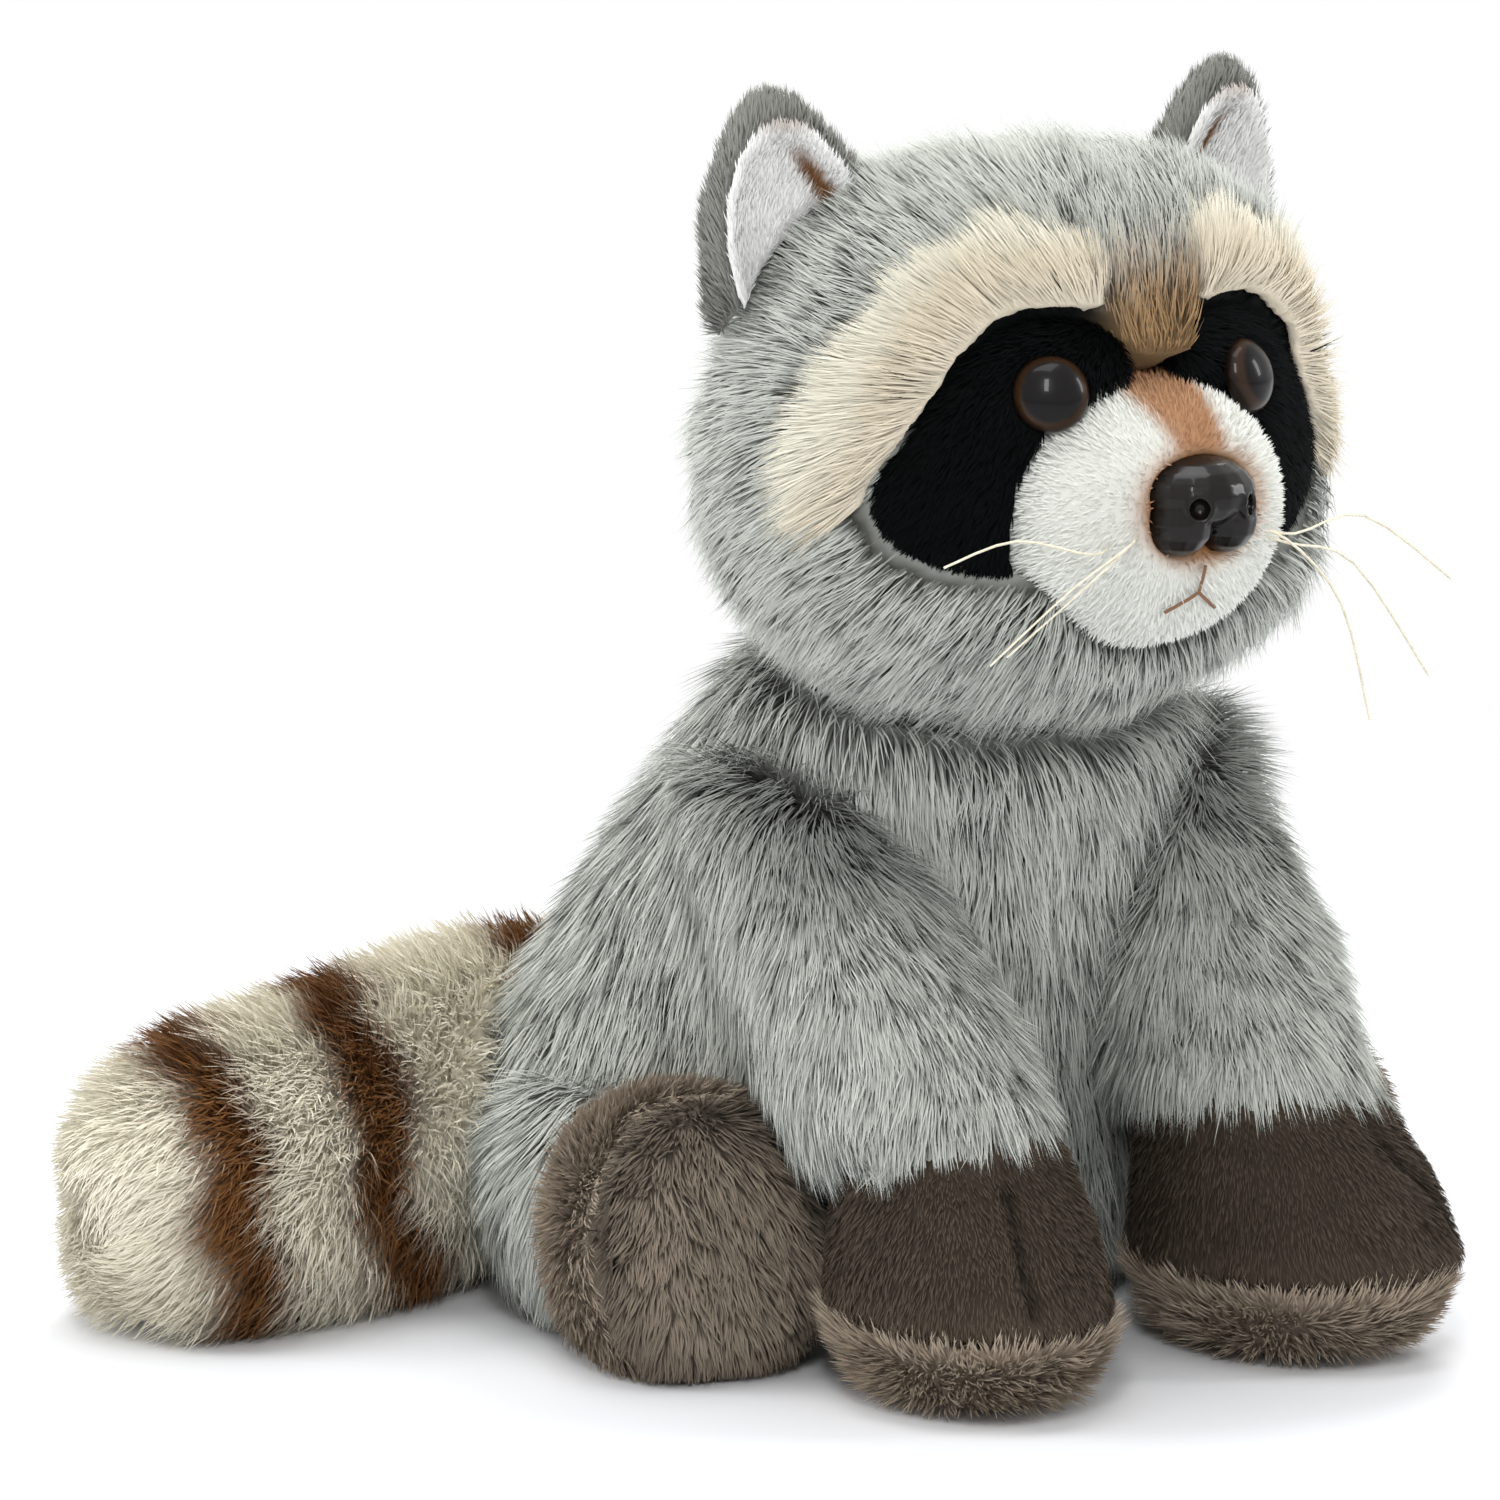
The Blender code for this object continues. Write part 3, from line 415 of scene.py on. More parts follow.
def move_points(mesh, points):
    """Put a mesh's points where an array says."""
    mesh.vertices.foreach_set("co", points.astype(np.float32).ravel())
    mesh.update()


def unit(vectors):
    """Vectors made one long."""
    lengths = np.linalg.norm(vectors, axis=-1, keepdims=True)
    return vectors / np.maximum(lengths, 1e-9)


def step(values, low, high):
    """A smooth step from 0 at the low value to 1 at the high one."""
    share = np.clip((values - low) / (high - low), 0, 1)
    return share * share * (3 - 2 * share)


def nearness(points, nodes):
    """Each point's distance from the nearest of some CAD nodes."""
    nearest = np.full(len(points), 1.0)
    for node in nodes:
        mesh = NODES[node].data
        corners = [vert.co for vert in mesh.vertices]
        faces = [tuple(face.vertices) for face in mesh.polygons]
        tree = BVHTree.FromPolygons(corners, faces)
        found = [tree.find_nearest(point)[3] for point in points]
        nearest = np.minimum(nearest, found)
    return nearest


def keep(mesh, name, values, kind="FLOAT"):
    """Store an attribute on a mesh's points."""
    attribute = mesh.attributes.new(name, kind, "POINT")
    if kind == "FLOAT":
        attribute.data.foreach_set("value", values.astype(np.float32))
    elif kind == "FLOAT_VECTOR":
        attribute.data.foreach_set("vector", values.astype(np.float32).ravel())
    else:
        full = np.concatenate([values, np.ones((len(values), 1))], axis=1)
        attribute.data.foreach_set("color", full.astype(np.float32).ravel())


PUFF_FRAMES = 20
PUFF_PRESSURE = 4.0


def puffed(obj, most):
    """Let the filling swell a skin under pressure, and keep each point within a distance."""
    before = points_of(obj.data)
    cloth = obj.modifiers.new("filling", "CLOTH")
    cloth.settings.use_pressure = True
    cloth.settings.uniform_pressure_force = PUFF_PRESSURE
    cloth.settings.effector_weights.gravity = 0.0
    cloth.point_cache.frame_start = 1
    cloth.point_cache.frame_end = PUFF_FRAMES
    scene = bpy.context.scene
    for number in range(1, PUFF_FRAMES + 1):
        scene.frame_set(number)
    settled(obj)
    scene.frame_set(1)
    moved = points_of(obj.data) - before
    lengths = np.linalg.norm(moved, axis=1, keepdims=True)
    move_points(obj.data, before + moved * np.minimum(1, most / np.maximum(lengths, 1e-9)))
    return obj


@dataclass
class Coat:
    """How a piece's pile is made: its length, its strands and the way that they lie."""

    length: float
    strands: int
    width: float
    sink: float
    lift: float = 0.6
    droop: float = 0.25
    tuft: float = 0.0055
    pull: float = 0.45
    wave: float = 0.6
    stray: float = 0.12
    voxel: float = 0.003
    smoothing: int = 3
    beside: float = 0.75


# Next to a seam a skin sinks less, its pile is paler at the roots, with less painted shade there, and this
# is how far that reaches
SEAM_SINK = 0.2
SEAM_PALENESS = 0.55
SEAM_REACH = 0.010
UNDERSIDE_HOLD = 0.8


def skin(name, node, coat, neighbours=(), centre=None, puff=0.0, extra=None):
    """A piece's skin, below the CAD form by the height of its pile, and less next to a neighbour.

    It sinks along its normals, or toward a centre for the panels of the head. A function may
    give each point an extra depth.
    """
    made = remeshed(name, node, coat.voxel, coat.smoothing)
    points = points_of(made.data)
    normals = points_of(made.data, "normal")
    distance = nearness(points, neighbours)
    if centre is None:
        under = np.clip(-normals[:, 2], 0, 1)
        inward = -normals * (1 - UNDERSIDE_HOLD * under)[:, None]
    else:
        inward = -unit(points - np.array(centre))
    seam = SEAM_SINK + (1 - SEAM_SINK) * step(distance, 0.0, SEAM_REACH)
    depth = coat.sink * seam + puff
    if extra is not None:
        depth = depth + extra(points)
    move_points(made.data, points + inward * depth[:, None])
    if puff:
        puffed(made, puff)
    sunk = points_of(made.data)
    sunk[:, 2] = np.maximum(sunk[:, 2], FLOOR_CLEARANCE)
    move_points(made.data, sunk)
    return made, points, normals, distance


# Where a piece touches a neighbour, faces down near the ground, or turns inward under a panel
TOUCHING = (0.0005, 0.0013)
FACING_DOWN = (0.80, 0.95)
RESTING_BELOW = 0.004
TURNED_IN = (-0.25, 0.0)
OUTWARD_LEAN = 2
SHORT_REACH = 0.6


def grow_pile(sewn, coat, flow, colours, seed, bare=None, outward_from=None, shorter=None):
    """Grow the pile on a skin.

    The flow, the colours and how much shorter the pile is are functions of the outer points.
    Pile is also short next to a neighbour, and none grows where the piece touches one or rests
    on the ground.
    """
    made, outer, normals, distance = sewn
    mesh = made.data
    facing = np.ones(len(outer))
    if outward_from is not None:
        outward = unit(outer - np.array(outward_from))
        facing = step(np.sum(normals * outward, axis=1), *TURNED_IN)
        normals = unit(normals + OUTWARD_LEAN * outward)
    flowing = flow(outer, normals)
    flowing = flowing - normals * np.sum(flowing * normals, axis=1)[:, None]
    lay = unit(flowing)
    free = step(distance, *TOUCHING)
    free *= 1 - step(-normals[:, 2], *FACING_DOWN) * (outer[:, 2] < RESTING_BELOW)
    free *= facing
    if bare is not None:
        free *= 1 - bare(outer)
    clear = step(distance, 0.0, coat.length * SHORT_REACH)
    pile = coat.length * (coat.beside + (1 - coat.beside) * clear)
    if shorter is not None:
        pile = pile * shorter(outer)
    # The darker root colour is partly painted shade deep in the pile, and the skin under the strands shows
    # it too
    root, tip = colours(outer, normals)
    # Near a seam the roots take less painted shade
    beside = SEAM_PALENESS * (1 - step(distance, 0.0, SEAM_REACH))
    root = blended(root, tip, beside)
    keep(mesh, LAY, lay, "FLOAT_VECTOR")
    keep(mesh, SKIN_NORMAL, normals, "FLOAT_VECTOR")
    keep(mesh, PILE, pile)
    keep(mesh, GROW, free)
    keep(mesh, ROOT_COLOUR, root, "FLOAT_COLOR")
    keep(mesh, TIP_COLOUR, tip, "FLOAT_COLOR")
    area = growing_area(mesh, free)
    modifier = made.modifiers.new("pile", "NODES")
    modifier.node_group = bpy.data.node_groups.get("Pile") or pile_tree()
    strand = strand_object("strand")
    values = {
        "Strand": strand,
        "Density": coat.strands / area,
        "Seed": seed,
        "Width": coat.width,
        "Lift": coat.lift,
        "Droop": coat.droop,
        "Tuft Size": coat.tuft,
        "Tuft Pull": coat.pull,
        "Wave": coat.wave,
        "Stray": coat.stray,
        "Material": pile_material(),
    }
    for name, value in values.items():
        set_input(modifier, name, value)
    settled(made)
    bpy.data.objects.remove(strand)
    lay_out_bake(made.data)
    for name in (LAY, PILE, GROW, ACROSS, STRAND, STRAND_ROOT):
        found = made.data.attributes.get(name)
        if found:
            made.data.attributes.remove(found)
    return made


def growing_area(mesh, free):
    """The area that the pile grows on."""
    total = 0.0
    for face in mesh.polygons:
        total += face.area * sum(free[corner] for corner in face.vertices) / len(face.vertices)
    return max(total, 1e-6)


BAKE_MARGIN = 0.15


def lay_out_bake(mesh):
    """Give each strand and each face of the skin a cell of its own on the map for baking."""
    corners = len(mesh.loops)
    owner = np.empty(corners, np.int32)
    mesh.loops.foreach_get("vertex_index", owner)
    count = len(mesh.vertices)
    strand = np.zeros(count, np.int32)
    along = np.zeros(count, np.float32)
    across = np.zeros(count, np.float32)
    mesh.attributes[STRAND].data.foreach_get("value", strand)
    mesh.attributes[ALONG].data.foreach_get("value", along)
    mesh.attributes[ACROSS].data.foreach_get("value", across)
    starts = np.empty(len(mesh.polygons), np.int32)
    totals = np.empty(len(mesh.polygons), np.int32)
    mesh.polygons.foreach_get("loop_start", starts)
    mesh.polygons.foreach_get("loop_total", totals)
    face = np.repeat(np.arange(len(starts)), totals)
    turn = np.arange(corners) - starts[face]
    of_strand = strand[owner] > 0
    skin_faces = np.unique(face[~of_strand])
    cell = np.where(of_strand, strand[owner] - 1, 0)
    cell[~of_strand] = strand.max() + np.searchsorted(skin_faces, face[~of_strand])
    columns = math.ceil(math.sqrt(cell.max() + 1))
    u = np.where(of_strand, across[owner], np.isin(turn, (1, 2)))
    v = np.where(of_strand, along[owner], np.isin(turn, (2, 3)))
    u = (cell % columns + BAKE_MARGIN + u * (1 - 2 * BAKE_MARGIN)) / columns
    v = (cell // columns + BAKE_MARGIN + v * (1 - 2 * BAKE_MARGIN)) / columns
    layer = mesh.uv_layers.new(name="OFBake")
    layer.data.foreach_set("uv", np.stack([u, v], axis=1).astype(np.float32).ravel())


def new_material(name):
    """A material with its shader and a wiring for its nodes."""
    made = bpy.data.materials.new(name)
    made.use_nodes = True
    shader = made.node_tree.nodes["Principled BSDF"]
    return made, shader, Wiring(made.node_tree)


# A strand turns from its root's colour to its tip's between two heights, later in some places and
# for some strands, and its level varies a little
ROOT_TO_TIP = (0.06, 0.70)
PATCH_NOISE = {"Scale": 130.0, "Detail": 2.0}
PATCH_DELAY = 0.9
LATE_STRANDS = (0.72, 1.0)
LATE_DELAY = 0.35
LEAST_LEVEL = 0.88
LEVEL_RANGE = 0.20


def pile_colour_group():
    """The colour along a strand: dark at its root, partly the pile's own root colour and partly painted
    shade deep in the pile, its own colour at its end, and no two alike.
    """
    tree = bpy.data.node_groups.new("Pile Colour", "ShaderNodeTree")
    kinds = {"Root": "Color", "Tip": "Color", "Along": "Float", "Shade": "Float", "Place": "Vector"}
    for name, kind in kinds.items():
        tree.interface.new_socket(name, in_out="INPUT", socket_type=f"NodeSocket{kind}")
    tree.interface.new_socket("Colour", in_out="OUTPUT", socket_type="NodeSocketColor")
    wire = Wiring(tree)
    given = wire.add("NodeGroupInput").outputs
    patch = wire.add("ShaderNodeTexNoise", {"Vector": given["Place"], **PATCH_NOISE}).outputs[0]
    delay = wire.math("MULTIPLY", wire.math("SUBTRACT", patch, 0.5), PATCH_DELAY)
    late = wire.math("MULTIPLY", wire.range(given["Shade"], *LATE_STRANDS), LATE_DELAY)
    height = wire.math("SUBTRACT", wire.math("SUBTRACT", given["Along"], delay), late)
    share = wire.range(height, *ROOT_TO_TIP)
    colour = wire.mix(share, given["Root"], given["Tip"])
    level = wire.math("ADD", LEAST_LEVEL, wire.math("MULTIPLY", given["Shade"], LEVEL_RANGE))
    shaded = wire.scaled(colour, level)
    wire.feed(wire.add("NodeGroupOutput").inputs["Colour"], shaded)
    return tree


def soft_normal_group():
    """A normal between a strand's own and that of the skin that it stands on."""
    tree = bpy.data.node_groups.new("Soft Normal", "ShaderNodeTree")
    for name, kind in (("Skin", "Vector"), ("Softness", "Float")):
        tree.interface.new_socket(name, in_out="INPUT", socket_type=f"NodeSocket{kind}")
    tree.interface.new_socket("Normal", in_out="OUTPUT", socket_type="NodeSocketVector")
    wire = Wiring(tree)
    given = wire.add("NodeGroupInput").outputs
    own = wire.add("ShaderNodeNewGeometry").outputs["Normal"]
    blend = wire.vector("ADD", own, wire.scaled(given["Skin"], given["Softness"]))
    wire.feed(wire.add("NodeGroupOutput").inputs["Normal"], wire.vector("NORMALIZE", blend))
    return tree


PILE_SOFTNESS = 0.85
PILE_FINISH = {"Roughness": 0.82, "Specular IOR Level": 0.10, "Sheen Weight": 0.3, "Sheen Roughness": 0.6}


def pile_material():
    """The material of all pile, with its colours from the piece's attributes."""
    found = bpy.data.materials.get("pile")
    if found:
        return found
    made, shader, wire = new_material("pile")

    def attribute(name, output):
        """One output of an attribute of the piece."""
        return wire.add("ShaderNodeAttribute", attribute_name=name).outputs[output]

    colour = wire.add("ShaderNodeGroup", node_tree=pile_colour_group())
    place = wire.add("ShaderNodeTexCoord").outputs["Object"]
    fed = {
        "Root": attribute(ROOT_COLOUR, "Color"),
        "Tip": attribute(TIP_COLOUR, "Color"),
        "Along": attribute(ALONG, "Fac"),
        "Shade": attribute(SHADE, "Fac"),
        "Place": place,
    }
    wire.feed_all(colour, fed)
    normal = wire.add("ShaderNodeGroup", node_tree=soft_normal_group())
    wire.feed(normal.inputs["Skin"], attribute(SKIN_NORMAL, "Vector"))
    wire.feed(normal.inputs["Softness"], PILE_SOFTNESS)
    wire.feed(shader.inputs["Base Color"], colour.outputs["Colour"])
    wire.feed(shader.inputs["Normal"], normal.outputs["Normal"])
    wire.feed_all(shader, PILE_FINISH)
    wire.feed(shader.inputs["Sheen Tint"], colour.outputs["Colour"])
    return made


def spread(colour, count):
    """One colour for each of a number of points."""
    return np.tile(np.array(colour)[:, None].T, (count, 1))


def blended(first, second, share):
    """Colours between two, by a share for each point."""
    return first * (1 - share)[:, None] + second * share[:, None]


HEAD_LOW, HEAD_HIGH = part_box("head")
HEAD_CENTRE = (HEAD_LOW + HEAD_HIGH) / 2
NOSE_LOW, NOSE_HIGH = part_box("nose")
NOSE_CENTRE = (NOSE_LOW + NOSE_HIGH) / 2
NOSE_FRONT = Vector((0, NOSE_LOW.y, NOSE_CENTRE.z))


def flow_from(source, fall=0.0):
    """A flow away from a point, with a share that falls."""
    origin = np.array(source)

    def flow(points, _normals):
        """Directions at some points."""
        away = unit(points - origin)
        away[:, 2] -= fall
        return away

    return flow


TEMPLE_DEPTH = 0.0035
CHEEK_DEPTH = 0.0022


def on_face(points):
    """How far each point of the head lies on its front."""
    return 1 - step(points[:, 1], HEAD_LOW.y + 0.022, HEAD_LOW.y + 0.036)


def above_middle(points):
    """How far each point of the head lies in its upper half."""
    return step(points[:, 2], HEAD_CENTRE.z, HEAD_CENTRE.z + 0.010)


def head_flow(points, _normals):
    """Back from the face over the crown, down over the cheeks, and up between the masks."""
    origin = np.array((0, NOSE_LOW.y - 0.005, NOSE_CENTRE.z))
    away = unit(points - origin)
    low = 1 - step(points[:, 2], HEAD_CENTRE.z - 0.010, HEAD_CENTRE.z + 0.035)
    away[:, 2] -= 0.75 * low
    between = (1 - step(np.abs(points[:, 0]), 0.010, 0.020)) * above_middle(points)
    between *= on_face(points)
    upward = points * np.array((4.0, 0.0, 0.0)) + np.array((0.0, 0.3, 1.0))
    return blended(away, unit(upward), between)


def temples(points):
    """Extra depth at the temples, and on the left cheek."""
    across = np.abs(points[:, 0])
    high = step(points[:, 2], HEAD_CENTRE.z + 0.004, HEAD_CENTRE.z + 0.018)
    low = 1 - step(points[:, 2], HEAD_CENTRE.z + 0.028, HEAD_CENTRE.z + 0.040)
    cheek = step(points[:, 0], 0.040, 0.058)
    return TEMPLE_DEPTH * step(across, 0.040, 0.054) * high * low + CHEEK_DEPTH * cheek


def body_flow(points, _normals):
    """Down, and a little outward."""
    flow = unit(points * np.array((1.0, 1.0, 0.0)))
    flow = flow * 0.35
    flow[:, 2] = -1.0
    return flow


def plain_colours(root, tip):
    """One colour at the roots and another at the tips."""

    def colours(points, _normals):
        """The colours at some points."""
        return spread(root, len(points)), spread(tip, len(points))

    return colours


def finish_piece(made, nodes):
    """Let a piece ride on the frame in place of its CAD nodes."""
    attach(made, "root")
    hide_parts(*nodes)


def dress(node, sewn, coat, flow, colours, seed, slot, fill=None, **growth):
    """Grow a piece's pile, and let the piece stand for its CAD node."""
    made = grow_pile(sewn, coat, flow, colours, seed, **growth)
    finish_piece(made, [node])


def darker(colour, share):
    """A colour made darker."""
    return tuple(channel * share for channel in colour)


# How full the soft and the firm pieces are, and how far a filling swells a skin
LOOSE_FILL = 0.8
FIRM_FILL = 0.9
SWELLING = 0.002


class RACCOON_OT_body(bpy.types.Operator):
    """Make the body, with its long grey pile."""

    bl_idname = "raccoon.body"
    bl_label = "Body"

    def execute(self, context):
        pile, colours, _stage = settings()
        coat = Coat(pile.body, 43500, 0.00040, sink=0.0035, lift=0.50, droop=0.30, voxel=0.0036,
                    beside=1.0)
        around = ["head", "tail"]
        for side in SIDES:
            around += [f"front_leg_{side}", f"hind_leg_{side}", f"hind_foot_{side}", f"front_paw_{side}"]
        sewn = skin("body_fur", "body", coat, around, puff=SWELLING)
        paint = plain_colours(colours.grey_root, colours.grey_tip)
        dress("body", sewn, coat, body_flow, paint, 1, "grey_pile", LOOSE_FILL)
        return {"FINISHED"}


def forehead(points):
    """How far each point of the head lies in the brown patch between the brows."""
    across = np.abs(points[:, 0])
    level = points[:, 2] - HEAD_CENTRE.z
    inner = 0.006 + 0.05 * np.maximum(level - 0.02, 0)
    width = 1 - step(across, inner, inner + 0.010)
    height = step(level, 0.004, 0.012) * (1 - step(level, 0.024, 0.038))
    return width * height * on_face(points)


def bridge(points):
    """How far each point of the head lies between the masks."""
    level = points[:, 2] - HEAD_CENTRE.z
    across = np.abs(points[:, 0])
    return (1 - step(across, 0.008, 0.014)) * step(level, 0.0, 0.004) * on_face(points)


MASK_OVERLAP = 0.08


class RACCOON_OT_head(bpy.types.Operator):
    """Make the head, with its masks and brows."""

    bl_idname = "raccoon.head"
    bl_label = "Head"

    def execute(self, context):
        pile, colours, _stage = settings()
        coat = Coat(pile.head, 44500, 0.00036, sink=0.0048, lift=0.50, droop=0.28, voxel=0.0030,
                    beside=1.0)
        masks = [f"mask_{side}" for side in SIDES]
        panels = ["muzzle", *masks, *(f"brow_{side}" for side in SIDES)]
        around = ["body", *(f"ear_back_{side}" for side in SIDES)]
        sewn = skin("head_fur", "head", coat, around, centre=HEAD_CENTRE, extra=temples)

        def paint(points, _normals):
            """Frosted grey with a brown patch, black over the masks and pale-rooted under them."""
            patch = forehead(points)
            count = len(points)
            # The patch's darker roots are partly its own colour and partly painted shade deep in the pile
            dark = spread(darker(colours.patch, 0.45), count)
            root = blended(spread(colours.grey_root, count), dark, patch)
            tip = blended(spread(colours.grey_tip, count), spread(colours.patch, count), patch)
            above = above_middle(points)
            # Below the masks the roots are paler, with less painted shade
            rim = (1 - step(nearness(points, masks), 0.0045, 0.0100)) * (1 - above)
            root = blended(root, tip * 0.72, rim)
            black = spread(colours.black, count)
            wall = 1 - step(nearness(points, masks), 0.0008 + 0.0054 * above, 0.0020 + 0.0060 * above)
            wall *= 1 - patch
            return blended(root, black, wall), blended(tip, black, wall)

        def in_recess(points):
            """Points that lie under a panel or the muzzle, or on the wall round a mask."""
            under = 1 - step(nearness(points, panels), 0.0004, 0.0010)
            above = above_middle(points)
            wall = 1 - step(nearness(points, masks), 0.0004 + 0.0018 * above, 0.0008 + 0.0032 * above)
            return np.maximum(under, wall * (1 - bridge(points)))

        def on_bridge(points):
            """Shorter between the masks, and longer up the forehead."""
            low = 1 - step(points[:, 2], HEAD_CENTRE.z + 0.018, HEAD_CENTRE.z + 0.032)
            return 1 - 0.65 * bridge(points) * low

        dress("head", sewn, coat, head_flow, paint, 2, "grey_pile", FIRM_FILL, bare=in_recess,
              outward_from=HEAD_CENTRE, shorter=on_bridge)
        for number, side in enumerate(SIDES):
            self.mask(side, pile, colours, 20 + number)
            self.brow(side, pile, colours, 30 + number)
        return {"FINISHED"}

    def mask(self, side, pile, colours, seed):
        """One black panel round an eye, drawn out and down over the edge of its recess."""
        coat = Coat(pile.short * 1.3, 5400, 0.00034, sink=0.0010, lift=0.55, droop=0.2, tuft=0.003,
                    pull=0.3, wave=0.5, voxel=0.0013, smoothing=1)
        sewn = skin(f"mask_fur_{side}", f"mask_{side}", coat, [f"eye_{side}"], centre=HEAD_CENTRE)
        low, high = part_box(f"mask_{side}")
        points = points_of(sewn[0].data)
        offset = points - np.array((low + high) / 2)
        outer = np.maximum(offset[:, 0] * SIDES[side], 0) * SIDES[side]
        lower = np.minimum(offset[:, 2], 0)
        move_points(sewn[0].data, points + MASK_OVERLAP * np.stack([outer, 0 * outer, lower], axis=1))
        # Darker roots: painted shade deep in the pile
        paint = plain_colours(darker(colours.black, 0.5), colours.black)
        flow = flow_from((0, NOSE_LOW.y, HEAD_CENTRE.z + 0.03), 0.8)
        dress(f"mask_{side}", sewn, coat, flow, paint, seed, "black_pile", outward_from=HEAD_CENTRE)

    def brow(self, side, pile, colours, seed):
        """One cream panel over a mask."""
        coat = Coat(pile.brow, 9800, 0.00034, sink=0.0050, lift=0.44, droop=0.30, pull=0.28, wave=0.8,
                    voxel=0.0017, smoothing=1)
        sewn = skin(f"brow_fur_{side}", f"brow_{side}", coat, centre=HEAD_CENTRE, extra=temples)

        def paint(points, _normals):
            """Cream, tan next to the mask."""
            near = 0.5 * (1 - step(nearness(points, [f"mask_{side}"]), 0.0095, 0.0130))
            count = len(points)
            tip = blended(spread(colours.cream, count), spread(colours.tan, count), near)
            # Darker roots: painted shade deep in the pile
            return tip * 0.88, tip

        dress(f"brow_{side}", sewn, coat, head_flow, paint, seed, "cream_pile", outward_from=HEAD_CENTRE)


class RACCOON_OT_muzzle(bpy.types.Operator):
    """Make the muzzle, with its short white pile and brown tints."""

    bl_idname = "raccoon.muzzle"
    bl_label = "Muzzle"

    def execute(self, context):
        pile, colours, _stage = settings()
        coat = Coat(pile.short * 0.75, 12500, 0.00034, sink=0.0011, lift=0.6, droop=0.15, tuft=0.002,
                    pull=0.15, wave=0.5, stray=0.2, voxel=0.0018, smoothing=3)
        sewn = skin("muzzle_fur", "muzzle", coat, ["nose"])

        def paint(points, _normals):
            """White, with a brown halo round the nose and a brown stripe up the bridge."""
            front = np.array((0, NOSE_HIGH.y, NOSE_CENTRE.z))
            offset = (points - front) / np.array((1.15, 1.6, 0.95))
            halo = 1 - step(np.linalg.norm(offset, axis=1), 0.0118, 0.0165)
            level = points[:, 2] - NOSE_CENTRE.z
            half = 0.0035 + 0.0035 * step(level, 0.010, 0.026)
            stripe = (1 - step(np.abs(points[:, 0]), half, half + 0.0045)) * step(level, 0.002, 0.008)
            tint = np.maximum(halo, stripe * 0.9)
            tip = blended(spread(colours.white, len(points)), spread(colours.halo, len(points)), tint)
            # Darker roots: painted shade deep in the pile
            return tip * 0.92, tip

        dress("muzzle", sewn, coat, flow_from(NOSE_FRONT), paint, 3, "white_pile", FIRM_FILL)
        return {"FINISHED"}


LINING_OVERLAP = 0.09
LINING_PROUD = 0.0006


class RACCOON_OT_ears(bpy.types.Operator):
    """Make the ears, with dark backs and white linings."""

    bl_idname = "raccoon.ears"
    bl_label = "Ears"

    def execute(self, context):
        pile, colours, _stage = settings()
        for number, side in enumerate(SIDES):
            low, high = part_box(f"ear_back_{side}")
            base = Vector(((low.x + high.x) / 2, (low.y + high.y) / 2, low.z - 0.01))
            self.back(side, pile, colours, base, 40 + number)
            self.lining(side, pile, colours, base, 50 + number)
        return {"FINISHED"}

    def back(self, side, pile, colours, base, seed):
        """The dark back and rim of one ear."""
        coat = Coat(pile.ear, 5000, 0.00038, sink=0.0018, lift=0.45, droop=0.15, tuft=0.003, pull=0.3,
                    voxel=0.0013, smoothing=1)
        sewn = skin(f"ear_back_fur_{side}", f"ear_back_{side}", coat, [f"ear_lining_{side}", "head"])
        # Darker roots: painted shade deep in the pile
        paint = plain_colours(darker(colours.ear_back, 0.6), colours.ear_back)
        dress(f"ear_back_{side}", sewn, coat, flow_from(base), paint, seed, "dark_pile")

    def lining(self, side, pile, colours, base, seed):
        """The white lining in one ear, tinted brown in its fold and near its tip."""
        coat = Coat(pile.short * 0.8, 2400, 0.00036, sink=0.0002, lift=0.35, droop=0.1, tuft=0.002, pull=0.2,
                    voxel=0.0011, smoothing=1)
        sewn = skin(f"ear_lining_fur_{side}", f"ear_lining_{side}", coat, [f"ear_back_{side}", "head"])
        low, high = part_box(f"ear_lining_{side}")
        middle = (low + high) / 2
        mesh = sewn[0].data
        points = points_of(mesh)
        spread_out = (points - np.array(middle)) * np.array((LINING_OVERLAP, 0.0, LINING_OVERLAP))
        move_points(mesh, points + spread_out + np.array((0.0, -LINING_PROUD, 0.0)))

        def paint(points, _normals):
            """White, with brown in the fold at the base and a trace at the tip."""
            across = (points[:, 0] - middle.x) * SIDES[side]
            level = points[:, 2] - low.z
            lean = 0.748 * level - 0.0212
            fold = 1 - step(np.abs(across - lean), 0.0008, 0.0024)
            fold *= step(level, 0.010, 0.013) * (1 - step(level, 0.023, 0.029))
            top = step(points[:, 2], high.z - 0.004, high.z - 0.001) * 0.5
            white = spread(colours.lining, len(points))
            tip = blended(white, spread(darker(colours.halo, 0.5), len(points)), np.maximum(fold, top))
            # Darker roots: painted shade deep in the pile
            return tip * 0.97, tip

        dress(f"ear_lining_{side}", sewn, coat, flow_from(base), paint, seed, "white_pile")


CREASES = {
    "right": ((-0.0407, -0.1157, 0.0419), (-0.0423, -0.1205, 0.0356), (-0.0432, -0.1250, 0.0282),
              (-0.0432, -0.1278, 0.0214)),
    "left": ((0.0422, -0.1114, 0.0457), (0.0464, -0.1161, 0.0388), (0.0525, -0.1174, 0.0317),
             (0.0550, -0.1180, 0.0250)),
}
CREASE_WIDTH = 0.0016
CREASE_DEPTH = 0.0018
LEG_FLATTER = 0.0045
PAW_FULLER = 0.0030

# How wide the pile parts at the shoulder, how strongly, and how wide and dark its shadow is
PARTING = 0.026
PARTING_SHARE = 0.40
SHADOW = 0.019
SHADOW_SHARE = {"left": 0.3, "right": 0.5}


def along_crease(points, side):
    """How far each point of a paw lies in its crease, as a share."""
    nearest = np.full(len(points), 1.0)
    route = np.array(CREASES[side])
    for start, end in zip(route, route[1:]):
        run = end - start
        share = np.clip((points - start) @ run / (run @ run), 0, 1)
        off = np.linalg.norm(points - start - share[:, None] * run, axis=1)
        nearest = np.minimum(nearest, off)
    return np.exp(-((nearest / CREASE_WIDTH) ** 2))


